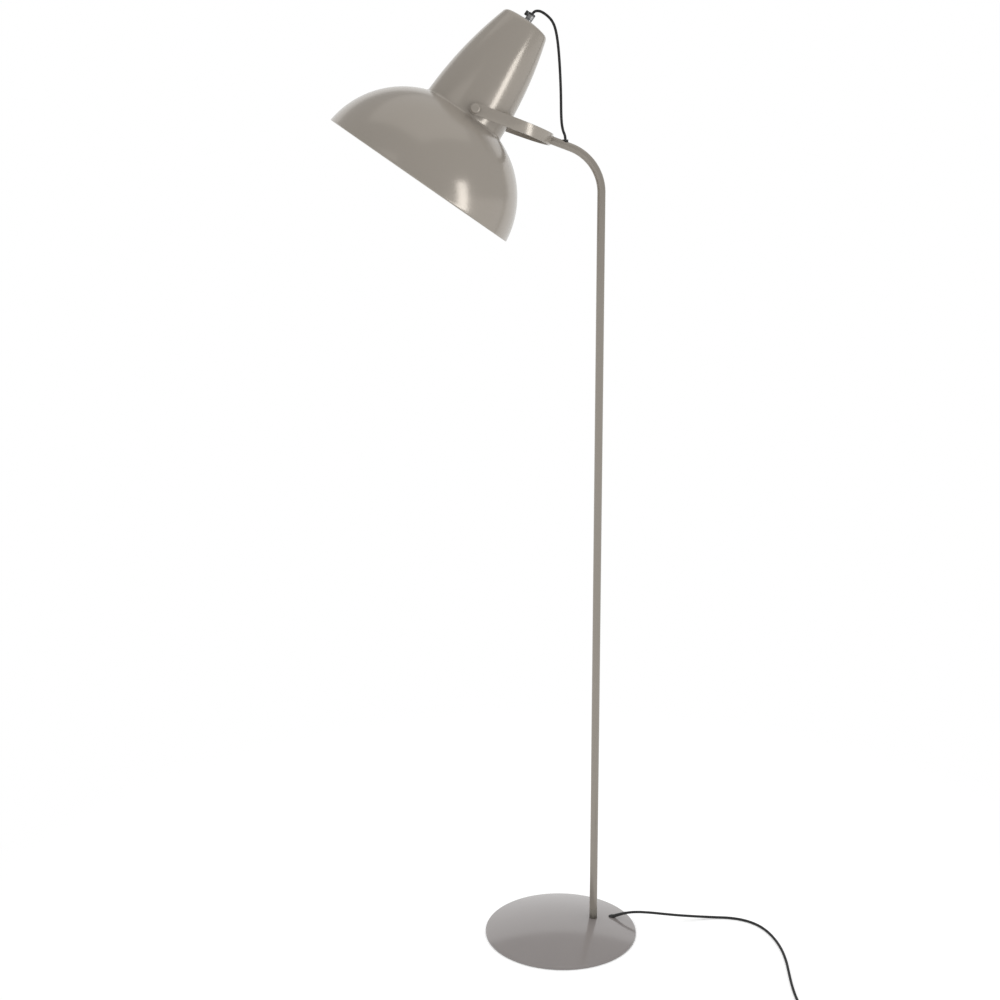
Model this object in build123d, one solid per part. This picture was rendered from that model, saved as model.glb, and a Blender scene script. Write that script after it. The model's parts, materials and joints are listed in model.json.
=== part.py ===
from build123d import *
import math
import os

# Gooseneck reading floor lamp: a heavy domed base, one bent steel tube with a fork on its end, and a
# spun shade that tilts on two pivots between the fork's arms.
# Millimetres. +Z is up, the shade points to -X, and the lamp is looked at from -Y.
# The origin is the centre of the base's underside, on the floor.

# ---------------------------------------------------------------- driving dimensions

# fits
FIT = 0.1  # gap between neighbouring pieces that are bolted or glued together
RUNNING = 0.05  # radial clearance of a pivot screw in its arm
SHELL_GAP = 0.3  # gap between a formed shell and what fills it

# base
base_diameter = 255.0
base_height = 19.0
base_edge_height = 4.5
base_skirt_lift = 1.0
base_edge_round = 2.5
cover_wall = 1.2
pad_thickness = 2.0
pad_inset = 2.0  # from the plate's edge to the pad's
plate_thickness = 1.5
plate_inset = 3.5  # from the cover's edge to the plate's
weight_inset = 4.0  # from the plate's edge to the weight's
base_turn = 13.6  # degrees from the shade's plane to the line through base centre, pole and cord hole
base_screw_count = 3
base_screw_inset = 29.0  # from the plate's edge to the screws' middles
base_screw_diameter = 4.0
base_screw_head = 7.6
base_screw_length = 6.0
base_screw_end_room = 0.5

# pole foot
pole_offset = 58.8
socket_height = 16.0
socket_diameter = 13.2
spigot_length = 20.0
stud_diameter = 12.0
stud_lift = 4.2
foot_nut_width = 19.0
foot_nut_height = 2.8
nut_recess_diameter = 24.0
nut_recess_top = 6.6

# tube
tube_diameter = 13.0
tube_wall = 1.5
bend_start_height = 1241.0
bend_radius = 75.0
arm_slope = 20.0  # degrees above level
arm_run = 31.0
arm_hole_run = 9.2
plug_length = 14.0

# fork
saddle_thickness = 1.5
saddle_diameter = 14.0
fork_width = 18.0
fork_thickness = 3.0
fork_inside = 137.0
fork_reach = 130.5
fork_edge_round = 0.5
fork_screw_diameter = 6.0
fork_screw_head = 11.0
fork_screw_head_height = 3.2
fork_screw_length = 15.0

# shade
shade_tilt = 34.6  # degrees between the shade's axis and the vertical
shade_wall = 1.0
rim_radius = 165.0
rim_bead_radius = 1.5
dome_arc_radius = 149.2
dome_arc_drop = 16.3  # how far the dome's arc centre lies below the rim
cone_arc_radius = 621.5
cone_arc_height = 106.7
cone_widest_radius = 67.5
crown_height = 298.5
crown_arc_radius = 158.0
neck_round = 5.0
crown_round = 7.0

# pivots
pivot_height = 138.0
pivot_offset = 7.8  # from the shade's axis towards the pole
pivot_screw_diameter = 6.0
pivot_knob_diameter = 15.5
pivot_knob_height = 5.5
pivot_knob_round = 3.4
pivot_nut_width = 10.0
pivot_nut_height = 5.0
pivot_spacer_diameter = 16.0

# cord grip on the crown
gland_diameter = 12.0
gland_height = 13.0
gland_round = 1.2
nipple_diameter = 10.0
nipple_bore = 7.0
nipple_in_gland = 6.0
nipple_below_crown = 39.0
crown_nut_width = 14.0
crown_nut_height = 4.0
grip_screw_diameter = 3.0
grip_knob_diameter = 8.0
grip_knob_length = 4.6
grip_screw_height = 8.8

# lamp holder and bulb
holder_cap_diameter = 40.0
holder_cap_height = 26.0
holder_cap_top_diameter = 24.0
holder_wall = 1.6
holder_body_length = 31.0
holder_body_diameter = 36.4
holder_floor = 6.0
holder_bore = 28.0
holder_in_cap = 8.0
holder_contact_radius = 4.0
holder_contact_height = 2.0
thread_wall = 0.4
thread_length = 20.0
bulb_cap_diameter = 26.4
bulb_cap_length = 21.0
bulb_tip_radius = 4.5
bulb_diameter = 60.0
bulb_length = 84.0  # glass alone, from the cap to the crown
bulb_neck_radius = 13.4
bulb_glass_wall = 1.0

# cord
cord_diameter = 4.2
cord_lift = 0.2
arm_bush_diameter = 6.9
arm_flange_diameter = 9.6
arm_flange_height = 2.1
arm_flange_round = 0.25
exit_radius = 91.9  # from the base's centre to the cord hole
exit_heading = -8.0  # degrees, the cord's way out of the base in plan
exit_slope = 20.0
exit_bush_diameter = 8.0
exit_bush_length = 7.0
channel_width = 5.0
channel_floor = 8.0
wide_channel_width = 14.0
wide_channel_floor = 5.6
lead_bend = 6.0
lead_offset = 2.3
grip_straight = 3.6
arm_straight = 5.2
exit_straight = 12.0
plug_straight = 15.0

# foot switch
switch_length = 75.0
switch_width = 34.0
switch_height = 19.0
switch_split = 8.0
switch_wall = 2.2
switch_corner = 12.0
switch_edge_round = 2.5
button_diameter = 20.0
button_rise = 3.5
button_travel = 2.5
button_skirt = 2.0
block_height = 7.0
block_size = 22.0
spring_diameter = 8.0
switch_screw_spacing = 56.0
switch_screw_diameter = 3.0

# plug
plug_body_length = 36.0
plug_body_width = 26.0
plug_body_thickness = 13.8
plug_tail_width = 15.0
plug_tail_thickness = 10.5
plug_relief_length = 17.0
plug_relief_radius = 4.6
plug_relief_tip = 3.1
plug_pin_diameter = 4.0
plug_pin_length = 19.0
plug_pin_spacing = 18.6

# where the cord's loose pieces lie on the floor
switch_centre = (344.0, -327.5)
coil_centre = (268.0, -372.0)
plug_start = (196.0, -399.9)
plug_heading = 172.0
coil_turn_count = 8
coil_middle_radius = 26.0
coil_pitch = 4.7
coil_arc_count = 4  # arc pairs in one turn

# ---------------------------------------------------------------- places worked out from them

base_radius = base_diameter / 2
tube_radius = tube_diameter / 2
bore_radius = tube_radius - tube_wall
cord_radius = cord_diameter / 2
cord_on_floor = cord_radius + cord_lift
coil_top_height = cord_on_floor + coil_pitch
plate_top = pad_thickness + plate_thickness
plate_radius = base_radius - plate_inset
pad_radius = plate_radius - pad_inset
weight_radius = plate_radius - weight_inset
base_screw_radius = plate_radius - base_screw_inset

base_turned = Location((0, 0, 0), (0, 0, base_turn))
narrow_length = nut_recess_diameter / 2 + 1.0
pole_foot = Vector(pole_offset, 0, 0).rotate(Axis.Z, base_turn)
arm_y = pole_foot.Y

arm_way = Vector(-math.cos(math.radians(arm_slope)), 0, math.sin(math.radians(arm_slope)))
bend_tangent = bend_radius * math.tan(math.radians(90 - arm_slope) / 2)
bend_corner = Vector(pole_foot.X, arm_y, bend_start_height + bend_tangent)
bend_end = bend_corner + arm_way * bend_tangent
arm_end = bend_end + arm_way * arm_run
pivot = arm_end + arm_way * (saddle_thickness + fork_reach)

fork_frame = Plane(origin=pivot, x_dir=-arm_way, z_dir=(-arm_way).rotate(Axis.Y, -90))
arm_end_frame = Plane(origin=arm_end, x_dir=-arm_way, z_dir=(-arm_way).rotate(Axis.Y, -90))

shade_up = Vector(0, 0, 1).rotate(Axis.Y, shade_tilt)
shade_across = Vector(1, 0, 0).rotate(Axis.Y, shade_tilt)
rim_centre = pivot - shade_across * pivot_offset - shade_up * pivot_height
shade_frame = Plane(origin=rim_centre, x_dir=shade_across, z_dir=shade_up)

gland_top = crown_height + gland_height
fork_inner = fork_inside / 2
fork_outer = fork_inner + fork_thickness


def cylinder(radius, low, high):
    """A cylinder on the Z axis between two heights."""
    return Pos(0, 0, (low + high) / 2) * Cylinder(radius, high - low)


def ring(outer, inner, low, high):
    """A plain ring on the Z axis between two heights."""
    return cylinder(outer, low, high) - cylinder(inner, low - 1, high + 1)


def hex_prism(width, low, high):
    """A hexagonal prism on the Z axis, width across its flats."""
    return Pos(0, 0, low) * extrude(RegularPolygon(width / 2, 6, major_radius=False), high - low)


def sideways(shape, way):
    """Turns a shape made on +Z so that it points along +Y (way 1) or -Y (way -1)."""
    return Rot(-90 * way, 0, 0) * shape


def turned_profile(*edges):
    """The solid that a closed outline in the XZ plane sweeps about the Z axis."""
    return revolve(make_face(Curve() + list(edges)), Axis.Z)


def at_xz(x, z):
    return Vector(x, 0, z)


# ---------------------------------------------------------------- base


def dome_arc_of_base(inset):
    """The centre height and radius of the base's domed top, moved inwards."""
    rise = base_height - base_edge_height
    radius = (base_radius**2 + rise**2) / (2 * rise)
    return base_height - radius, radius - inset


def base_top_height(distance, inset=0.0):
    """The height of the base's domed top at a distance from its centre."""
    centre, radius = dome_arc_of_base(inset)
    return centre + math.sqrt(radius**2 - distance**2)


def base_form(inset, bottom, edge=None):
    """The domed disc that the cover has outside, moved inwards, from a given height up."""
    edge = edge or base_radius - inset
    shoulder = base_top_height(edge, inset)
    middle = edge / 2
    crown = base_top_height(0, inset)
    form = turned_profile(
        Line(at_xz(0, bottom), at_xz(edge, bottom)),
        Line(at_xz(edge, bottom), at_xz(edge, shoulder)),
        ThreePointArc(at_xz(edge, shoulder), at_xz(middle, base_top_height(middle, inset)), at_xz(0, crown)),
        Line(at_xz(0, crown), at_xz(0, bottom)),
    )
    circles = form.edges().filter_by(GeomType.CIRCLE)
    shoulder_edges = [e for e in circles if abs(e.center().Z - shoulder) < 0.01]
    return fillet(shoulder_edges, base_edge_round - inset)


def exit_frame():
    """The place and direction in which the cord comes out of the base."""
    hole = Vector(exit_radius, 0, 0).rotate(Axis.Z, base_turn)
    way = Vector(1, 0, 0).rotate(Axis.Y, -exit_slope).rotate(Axis.Z, exit_heading)
    return Plane(origin=(hole.X, hole.Y, base_top_height(exit_radius)), z_dir=way)


def base_cover():
    shell = base_form(0, base_skirt_lift) - base_form(cover_wall, base_skirt_lift - 1)
    stud_hole = Pos(pole_foot.X, arm_y, 0) * cylinder(stud_diameter / 2 + FIT, 0, base_height + 1)
    cord_hole = exit_frame() * cylinder(exit_bush_diameter / 2 + FIT, -20, 20)
    return shell - stud_hole - cord_hole


def screw_spots():
    """Where the bottom plate's screws stand, clear of the cord channel."""
    first = 180 / base_screw_count
    return PolarLocations(base_screw_radius, base_screw_count, start_angle=first)


def cord_channel():
    """The open channel in the weight that takes the cord from the pole's foot to the cord hole."""
    narrow_end = pole_offset + narrow_length
    tall = base_height
    narrow = Pos((pole_offset + narrow_end) / 2, 0, channel_floor + tall / 2) * Box(
        narrow_end - pole_offset, channel_width, tall
    )
    wide_end = exit_radius + exit_bush_length
    wide = Pos((narrow_end + wide_end) / 2, 0, wide_channel_floor + tall / 2) * Box(
        wide_end - narrow_end, wide_channel_width, tall
    )
    return base_turned * (narrow + wide)


def base_weight():
    disc = base_form(cover_wall + SHELL_GAP, plate_top, weight_radius)
    stud_hole = Pos(pole_foot.X, arm_y, 0) * cylinder(stud_diameter / 2 + FIT, 0, base_height)
    nut_room = Pos(pole_foot.X, arm_y, 0) * cylinder(nut_recess_diameter / 2, 0, nut_recess_top)
    drill = cylinder(base_screw_diameter / 2, 0, pad_thickness + base_screw_length + base_screw_end_room)
    drilled = [base_turned * spot * drill for spot in screw_spots()]
    return disc - stud_hole - nut_room - cord_channel() - drilled


def base_screw():
    head_height = plate_thickness
    head = Pos(0, 0, pad_thickness + head_height / 2) * Cone(
        base_screw_head / 2, base_screw_diameter / 2, head_height
    )
    shank = cylinder(base_screw_diameter / 2, plate_top, pad_thickness + base_screw_length)
    return head + shank


def base_plate():
    disc = cylinder(plate_radius, pad_thickness, plate_top)
    sink = Pos(0, 0, pad_thickness + plate_thickness / 2) * Cone(
        base_screw_head / 2, base_screw_diameter / 2, plate_thickness
    )
    return disc - [base_turned * spot * sink for spot in screw_spots()]


def base_screws():
    return Compound([base_turned * spot * base_screw() for spot in screw_spots()])


def base_pad():
    return cylinder(pad_radius, 0, pad_thickness)


# ---------------------------------------------------------------- pole and its foot


def socket_top():
    return base_top_height(pole_offset) + socket_height


def pole_socket():
    body = cylinder(socket_diameter / 2, stud_lift + 1, socket_top()) - base_turned_form_at_pole()
    spigot = cylinder(bore_radius - RUNNING, socket_top() - 1, socket_top() + spigot_length)
    stud = cylinder(stud_diameter / 2, stud_lift, base_top_height(pole_offset) + 1)
    bore = cylinder(nipple_bore / 2, 0, socket_top() + spigot_length + 1)
    window_top = channel_floor + channel_width + 0.4
    window = Pos(stud_diameter / 2, 0, (channel_floor + window_top) / 2) * Box(
        stud_diameter, channel_width, window_top - channel_floor
    )
    return Pos(pole_foot.X, arm_y, 0) * (body + spigot + stud - bore - Rot(0, 0, base_turn) * window)


def base_turned_form_at_pole():
    """The base's outer form, seen from the pole's foot, which the socket stands on."""
    return Pos(-pole_foot.X, -arm_y, 0) * base_form(0, base_skirt_lift)


def pole_nut():
    nut = hex_prism(foot_nut_width, nut_recess_top - foot_nut_height, nut_recess_top)
    return Pos(pole_foot.X, arm_y, 0) * (nut - cylinder(stud_diameter / 2, 0, base_height))


def arm_hole_centre():
    return bend_end + arm_way * arm_hole_run


def tube_form(radius):
    """The bent tube's outside or bore."""
    start = Vector(pole_foot.X, arm_y, socket_top())
    path = FilletPolyline(start, bend_corner, arm_end, radius=bend_radius)
    return sweep(Plane(origin=start, z_dir=(0, 0, 1)) * Circle(radius), path=path)


def pole():
    hole = Pos(*arm_hole_centre()) * cylinder(arm_bush_diameter / 2 + RUNNING, 0, 3 * tube_radius)
    return tube_form(tube_radius) - tube_form(bore_radius) - hole


def arm_bush_top():
    return tube_radius / math.cos(math.radians(arm_slope)) + arm_flange_height


def arm_bush():
    """The bush where the shade's cord goes into the arm, its flange shaped to the tube."""
    top = arm_bush_top()
    low = bore_radius / math.cos(math.radians(arm_slope))
    barrel = cylinder(arm_bush_diameter / 2, low, top)
    flange = cylinder(arm_flange_diameter / 2, tube_radius / 2, top)
    flange = Pos(*arm_hole_centre()) * flange - tube_form(tube_radius)
    bush = flange + Pos(*arm_hole_centre()) * barrel
    bush = bush - Pos(*arm_hole_centre()) * cylinder(cord_radius + FIT, 0, top + 1)
    rim = bush.edges().filter_by(GeomType.CIRCLE).sort_by(Axis.Z)[-2:]
    return fillet(rim.sort_by(SortBy.RADIUS)[-1], arm_flange_round)


def arm_plug():
    """The threaded plug brazed into the arm's end."""
    body = cylinder(bore_radius - RUNNING, -plug_length, 0)
    bore = cylinder(fork_screw_diameter / 2, -plug_length - 1, 1)
    return arm_end_frame * (Rot(0, 180, 0) * Rot(0, 90, 0) * (body - bore))


# ---------------------------------------------------------------- fork


def fork_bow_centre():
    return fork_reach - fork_outer


def fork_screw_hole():
    """The hole that the fork's screw goes through, in the bow and in the saddle."""
    length = 2 * fork_screw_length
    return Pos(fork_reach, 0, 0) * Rot(0, 90, 0) * Cylinder(fork_screw_diameter / 2 + FIT, length)


def fork():
    """A flat strip bent to a U, seen from its own plane: arms along X, width along Z."""
    bow = fork_bow_centre()
    half = fork_width / 2
    outer = Pos(bow, 0, 0) * cylinder(fork_outer, -half, half)
    inner = Pos(bow, 0, 0) * cylinder(fork_inner, -half - 1, half + 1)
    behind = Pos(bow - fork_outer, 0, 0) * Box(2 * fork_outer, 3 * fork_outer, 2 * fork_width)
    strip = outer - inner - behind
    for side in (-1, 1):
        y = side * (fork_inner + fork_thickness / 2)
        arm = Pos(bow / 2, y, 0) * Box(bow, fork_thickness, fork_width)
        end = Pos(0, y, 0) * Rot(90, 0, 0) * Cylinder(half, fork_thickness)
        strip += arm + end
    long_edges = [e for e in strip.edges() if abs(abs(e.center().Z) - half) < 0.01 or e.center().X < -1]
    strip = fillet(long_edges, fork_edge_round)
    pivot_hole = Rot(90, 0, 0) * Cylinder(pivot_screw_diameter / 2 + RUNNING, 3 * fork_inside)
    return fork_frame * (strip - pivot_hole - fork_screw_hole())


def fork_saddle():
    """The washer between the flat arm end and the curved back of the fork."""
    block = Pos(fork_reach + saddle_thickness / 2 - 1, 0, 0) * Rot(0, 90, 0) * Cylinder(
        saddle_diameter / 2, saddle_thickness + 2
    )
    back = Pos(fork_bow_centre(), 0, 0) * Cylinder(fork_outer, 2 * fork_width)
    return fork_frame * (block - back - fork_screw_hole())


def fork_screw():
    """The screw that holds the fork to the arm, its head shaped to the inside of the bow."""
    inside = fork_reach - fork_thickness
    head = Pos(inside - fork_screw_head_height / 2 + 0.5, 0, 0) * Rot(0, 90, 0) * Cylinder(
        fork_screw_head / 2, fork_screw_head_height + 1
    )
    bow = Pos(fork_bow_centre(), 0, 0) * Cylinder(fork_inner, 2 * fork_width)
    head = fillet((head & bow).edges().sort_by(Axis.X)[0], 1.2)
    shank = Pos(inside + fork_screw_length / 2 - 1, 0, 0) * Rot(0, 90, 0) * Cylinder(
        fork_screw_diameter / 2, fork_screw_length + 2
    )
    socket = Pos(inside - fork_screw_head_height, 0, 0) * Rot(0, 90, 0) * hex_prism(3.5, -1, 1.8)
    return fork_frame * (head + shank - socket)


# ---------------------------------------------------------------- shade


def crossing(first, second, upper):
    """Where two circles (centre r, centre z, radius) meet, the upper or the lower crossing."""
    (ax, az, ar), (bx, bz, br) = first, second
    gap = math.hypot(bx - ax, bz - az)
    along = (ar**2 - br**2 + gap**2) / (2 * gap)
    aside = math.sqrt(ar**2 - along**2)
    ux, uz = (bx - ax) / gap, (bz - az) / gap
    spots = [(ax + along * ux - s * aside * uz, az + along * uz + s * aside * ux) for s in (-1, 1)]
    return sorted(spots, key=lambda spot: spot[1])[1 if upper else 0]


def on_circle(circle, first, last):
    """The point of a circle halfway in angle between two of its points."""
    x, z, radius = circle
    angles = [math.atan2(p[1] - z, p[0] - x) for p in (first, last)]
    middle = sum(angles) / 2
    return x + radius * math.cos(middle), z + radius * math.sin(middle)


def shade_circles(inset):
    """The three arcs of the shade's outline, moved inwards: dome, cone and crown."""
    dome_r = rim_radius - math.sqrt(dome_arc_radius**2 - dome_arc_drop**2)
    dome = (dome_r, -dome_arc_drop, dome_arc_radius - inset)
    cone = (cone_widest_radius - cone_arc_radius, cone_arc_height, cone_arc_radius - inset)
    crown = (0.0, crown_height - crown_arc_radius, crown_arc_radius - inset)
    return dome, cone, crown


def shade_form(inset):
    """The closed form of the shade, dome, neck, cone and crown in one, moved inwards."""
    dome, cone, crown = shade_circles(inset)
    rim = (dome[0] + math.sqrt(dome[2] ** 2 - dome[1] ** 2), 0.0)
    neck = crossing(dome, cone, upper=True)
    shoulder = crossing(cone, crown, upper=True)
    top = (0.0, crown_height - inset)
    arcs = [
        ThreePointArc(at_xz(*a), at_xz(*on_circle(circle, a, b)), at_xz(*b))
        for circle, a, b in ((dome, rim, neck), (cone, neck, shoulder), (crown, shoulder, top))
    ]
    form = turned_profile(Line(at_xz(0, 0), at_xz(*rim)), *arcs, Line(at_xz(*top), at_xz(0, 0)))
    for spot, rounding in ((neck, neck_round + inset), (shoulder, crown_round - inset)):
        edges = [e for e in form.edges().filter_by(GeomType.CIRCLE) if abs(e.center().Z - spot[1]) < 0.01]
        form = fillet(edges, rounding)
    return form


def pivot_place():
    """The pivot axis in the shade's frame."""
    return Pos(pivot_offset, 0, pivot_height)


def shade_shell(outer, inner):
    """The spun shell with its rolled rim, pivot holes and crown hole."""
    bead_centre = rim_radius - rim_bead_radius
    bead = revolve(Plane.XZ * Pos(bead_centre, rim_bead_radius) * Circle(rim_bead_radius), Axis.Z)
    open_below = inner + cylinder(bead_centre - rim_bead_radius, -1, 1)
    holes = pivot_place() * Rot(90, 0, 0) * Cylinder(pivot_screw_diameter / 2 + FIT, fork_inside)
    crown_hole = cylinder(nipple_diameter / 2 + FIT, crown_height - nipple_below_crown, crown_height + 1)
    return outer - open_below + bead - holes - crown_hole


def pivot_screw(way):
    """A round knob outside the fork with its shank through fork and shade."""
    knob_base = fork_outer + FIT
    knob = cylinder(pivot_knob_diameter / 2, knob_base, knob_base + pivot_knob_height)
    knob = fillet(knob.edges().filter_by(GeomType.CIRCLE).sort_by(Axis.Z)[-1], pivot_knob_round)
    shank_end = fork_inner - pivot_nut_height - 5
    shank = cylinder(pivot_screw_diameter / 2, shank_end, knob_base + 1)
    return shade_frame * pivot_place() * sideways(knob + shank, way)


def pivot_spacer(way, outer):
    """The washer that fills the gap from the curved shade to the flat fork arm."""
    washer = ring(pivot_spacer_diameter / 2, pivot_screw_diameter / 2, fork_inner - 12, fork_inner - FIT)
    return shade_frame * (pivot_place() * sideways(washer, way) - outer)


def pivot_nut(way, inner):
    """The nut inside the shade, its base shaped to the curved wall."""
    nut = hex_prism(pivot_nut_width, fork_inner - pivot_nut_height - 4, fork_inner)
    nut -= cylinder(pivot_screw_diameter / 2, 0, fork_inside)
    return shade_frame * (pivot_place() * sideways(nut, way) & inner)


# ---------------------------------------------------------------- cord grip, holder and bulb


def nipple():
    top = crown_height + nipple_in_gland
    return shade_frame * ring(nipple_diameter / 2, nipple_bore / 2, crown_height - nipple_below_crown, top)


def crown_nut():
    seat = crown_height - shade_wall - SHELL_GAP
    nut = hex_prism(crown_nut_width, seat - crown_nut_height, seat)
    return shade_frame * (nut - cylinder(nipple_diameter / 2, 0, crown_height))


def gland_body(outer):
    body = cylinder(gland_diameter / 2, crown_height - 2, gland_top)
    body = fillet(body.edges().filter_by(GeomType.CIRCLE).sort_by(Axis.Z)[-1], gland_round)
    body = body - outer
    body -= cylinder(nipple_diameter / 2, 0, crown_height + nipple_in_gland)
    body -= cylinder(cord_radius + FIT, 0, gland_top + 1)
    screw = Pos(0, 0, crown_height + grip_screw_height) * Rot(0, -90, 0) * cylinder(
        grip_screw_diameter / 2, 0, gland_diameter
    )
    return shade_frame * (body - screw)


def grip_screw():
    """The clamping screw on the far side of the cord grip from the pole."""
    shank = cylinder(grip_screw_diameter / 2, cord_radius + FIT, gland_diameter / 2 + 1)
    knob = cylinder(grip_knob_diameter / 2, gland_diameter / 2 + FIT, gland_diameter / 2 + grip_knob_length)
    knob = chamfer(knob.edges().filter_by(GeomType.CIRCLE), 0.6)
    return shade_frame * (Pos(0, 0, crown_height + grip_screw_height) * Rot(0, -90, 0) * (shank + knob))


def holder_top():
    return crown_height - nipple_below_crown + 4.0


def holder_cap():
    """The bell-shaped cap that screws onto the nipple."""
    top, low = holder_top(), holder_top() - holder_cap_height
    outer, crown = holder_cap_diameter / 2, holder_cap_top_diameter / 2
    bell = loft_of_rings((outer, low), (outer, low + 12), (crown, top))
    outer, crown = outer - holder_wall, crown - holder_wall
    room = loft_of_rings((outer, low - 1), (outer, low + 12), (crown, top - holder_wall))
    return shade_frame * (bell - room - cylinder(nipple_diameter / 2, low, top + 1))


def loft_of_rings(*rings):
    """The turned solid through rings given as (radius, height), from the lowest up."""
    points = [at_xz(0, rings[0][1]), *[at_xz(*r) for r in rings], at_xz(0, rings[-1][1])]
    return revolve(make_face(Polyline(*points, close=True)), Axis.Z)


def holder_body():
    """The moulded holder: a tube with a floor that the contact goes through."""
    top = holder_top() - holder_cap_height + holder_in_cap
    low = top - holder_body_length
    body = cylinder(holder_body_diameter / 2, low, top)
    skirt = ring(holder_cap_diameter / 2, holder_body_diameter / 2 - 1, low, low + 3)
    body -= cylinder(holder_bore / 2, low - 1, top - holder_floor)
    return shade_frame * (body + skirt - cylinder(holder_contact_radius / 2, low, top + 1))


def holder_floor_height():
    return holder_top() - holder_cap_height + holder_in_cap - holder_floor


def holder_contact():
    """The centre contact under the holder's floor, with its stem through it."""
    floor = holder_floor_height()
    pad = cylinder(holder_contact_radius, floor - holder_contact_height, floor)
    stem = cylinder(holder_contact_radius / 2, floor - 1, floor + holder_floor)
    return shade_frame * (pad + stem)


def holder_thread():
    outer = holder_bore / 2
    top = holder_floor_height() - 3.0
    return shade_frame * ring(outer, outer - thread_wall, top - thread_length, top)


def bulb_cap_top():
    return holder_floor_height() - holder_contact_height - 2.0


def bulb_cap():
    top = bulb_cap_top()
    return shade_frame * ring(bulb_cap_diameter / 2, bulb_cap_diameter / 2 - 1, top - bulb_cap_length, top)


def bulb_contact():
    """The insulated end of the cap with its centre contact."""
    top = bulb_cap_top()
    disc = cylinder(bulb_cap_diameter / 2 - 1, top - 2, top)
    tip = cylinder(bulb_tip_radius, top - 1, top + 2.0)
    return shade_frame * (disc + tip)


def bulb_form(inset):
    """The bulb's ball and neck: a circle that a straight line touches."""
    top = bulb_cap_top() - bulb_cap_length
    centre = top - bulb_length + bulb_diameter / 2
    radius = bulb_diameter / 2 - inset
    neck = (bulb_neck_radius - inset, top)
    reach = math.hypot(neck[0], neck[1] - centre)
    angle = math.atan2(neck[1] - centre, neck[0]) - math.acos(radius / reach)
    touch = (radius * math.cos(angle), centre + radius * math.sin(angle))
    belly = on_circle((0.0, centre, radius), (0.0, centre - radius), touch)
    return turned_profile(
        Line(at_xz(0, top), at_xz(*neck)),
        Line(at_xz(*neck), at_xz(*touch)),
        ThreePointArc(at_xz(*touch), at_xz(*belly), at_xz(0, centre - radius)),
        Line(at_xz(0, centre - radius), at_xz(0, top)),
    )


def bulb_glass():
    return shade_frame * (bulb_form(0) - bulb_form(bulb_glass_wall))


# ---------------------------------------------------------------- cord


def corner_radii(points):
    """The largest even radius for each corner: 0.45 of its shorter run over the tangent of half the turn."""
    runs = [b - a for a, b in zip(points, points[1:])]
    pairs = list(zip(runs, runs[1:]))
    return [0.45 * min(a.length, b.length) / math.tan(math.radians(a.get_angle(b) / 2)) for a, b in pairs]


def cord_tube(name, points, radii=None):
    """A round cord through hand-placed points, as straight runs joined by tangent arcs."""
    points = [Vector(*p) for p in points]
    radii = radii or corner_radii(points)
    path = FilletPolyline(*points, radius=radii)
    tube = sweep(Plane(origin=points[0], z_dir=points[1] - points[0]) * Circle(cord_radius), path=path)
    share = tube.volume / (math.pi * cord_radius**2 * path.length)
    print(f"{name}: {path.length:.1f} mm long, volume share {share:.4f}, radii {[round(r, 1) for r in radii]}")
    return tube


def grip_exit():
    """The middle of the cord grip's upper face."""
    return rim_centre + shade_up * gland_top


def arm_entry():
    """The middle of the arm bush's upper face."""
    return arm_hole_centre() + Vector(0, 0, arm_bush_top())


# The free cord from the shade's grip to the arm, in the shade's plane: (x, z), between its two ends.
shade_cord_route = [
    (-46.6, 1519.2),
    (-40.0, 1518.3),
    (-31.6, 1513.2),
    (-24.0, 1506.2),
    (-18.6, 1496.5),
    (-15.0, 1481.5),
    (-12.2, 1460.0),
    (-9.9, 1430.0),
    (-8.2, 1395.0),
    (-7.7, 1362.0),
    (-6.6, 1347.0),
    (-4.4, 1336.6),
]

# The cord from the base to the foot switch, (x, y, z): it springs out of its hole, comes down to the
# floor, turns towards the viewer and climbs into the switch.
mains_route = [
    (116.8, 17.4, 20.4),
    (131.5, 15.0, 22.3),
    (152.0, 13.1, 21.6),
    (178.7, 12.8, 18.0),
    (205.0, 16.6, 12.5),
    (235.4, 22.1, 6.6),
    (267.5, 25.0, cord_on_floor),
    (298.0, 21.0, cord_on_floor),
    (325.0, 8.0, cord_on_floor),
    (344.0, -15.0, cord_on_floor),
    (354.5, -47.0, cord_on_floor),
    (359.0, -85.0, cord_on_floor),
    (357.5, -125.0, cord_on_floor),
    (352.0, -165.0, cord_on_floor),
    (347.0, -203.0, cord_on_floor),
    (344.6, -237.0, cord_on_floor),
    (344.2, -265.0, 4.8),
    (344.0, -280.5, switch_split),
]

# From the switch round to the coil.
link_route = [
    (344.0, -371.0, switch_split),
    (342.8, -382.5, 5.6),
    (336.0, -394.5, 3.4),
    (324.5, -402.5, 2.5),
    (308.5, -406.5, cord_on_floor),
    (290.0, -407.4, cord_on_floor),
]

# From the coil's upper layer to the plug.
tail_route = [
    (255.5, -407.4, coil_top_height),
    (242.0, -406.7, 6.1),
    (226.0, -404.6, 5.8),
]


def shade_cord():
    middle = [Vector(x, arm_y, z) for x, z in shade_cord_route]
    leaves = grip_exit() + shade_up * grip_straight
    enters = arm_entry() + Vector(0, 0, arm_straight)
    return cord_tube("shade_cord", [grip_exit(), leaves, *middle, enters, arm_entry()])


def shade_lead():
    """The cord inside the grip, the nipple and the holder's cap."""
    return shade_frame * cylinder(cord_radius, holder_top() - 12, gland_top)


def exit_start():
    """Where the cord leaves its bush."""
    return exit_frame().origin + exit_frame().z_dir * exit_bush_length / 2


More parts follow.
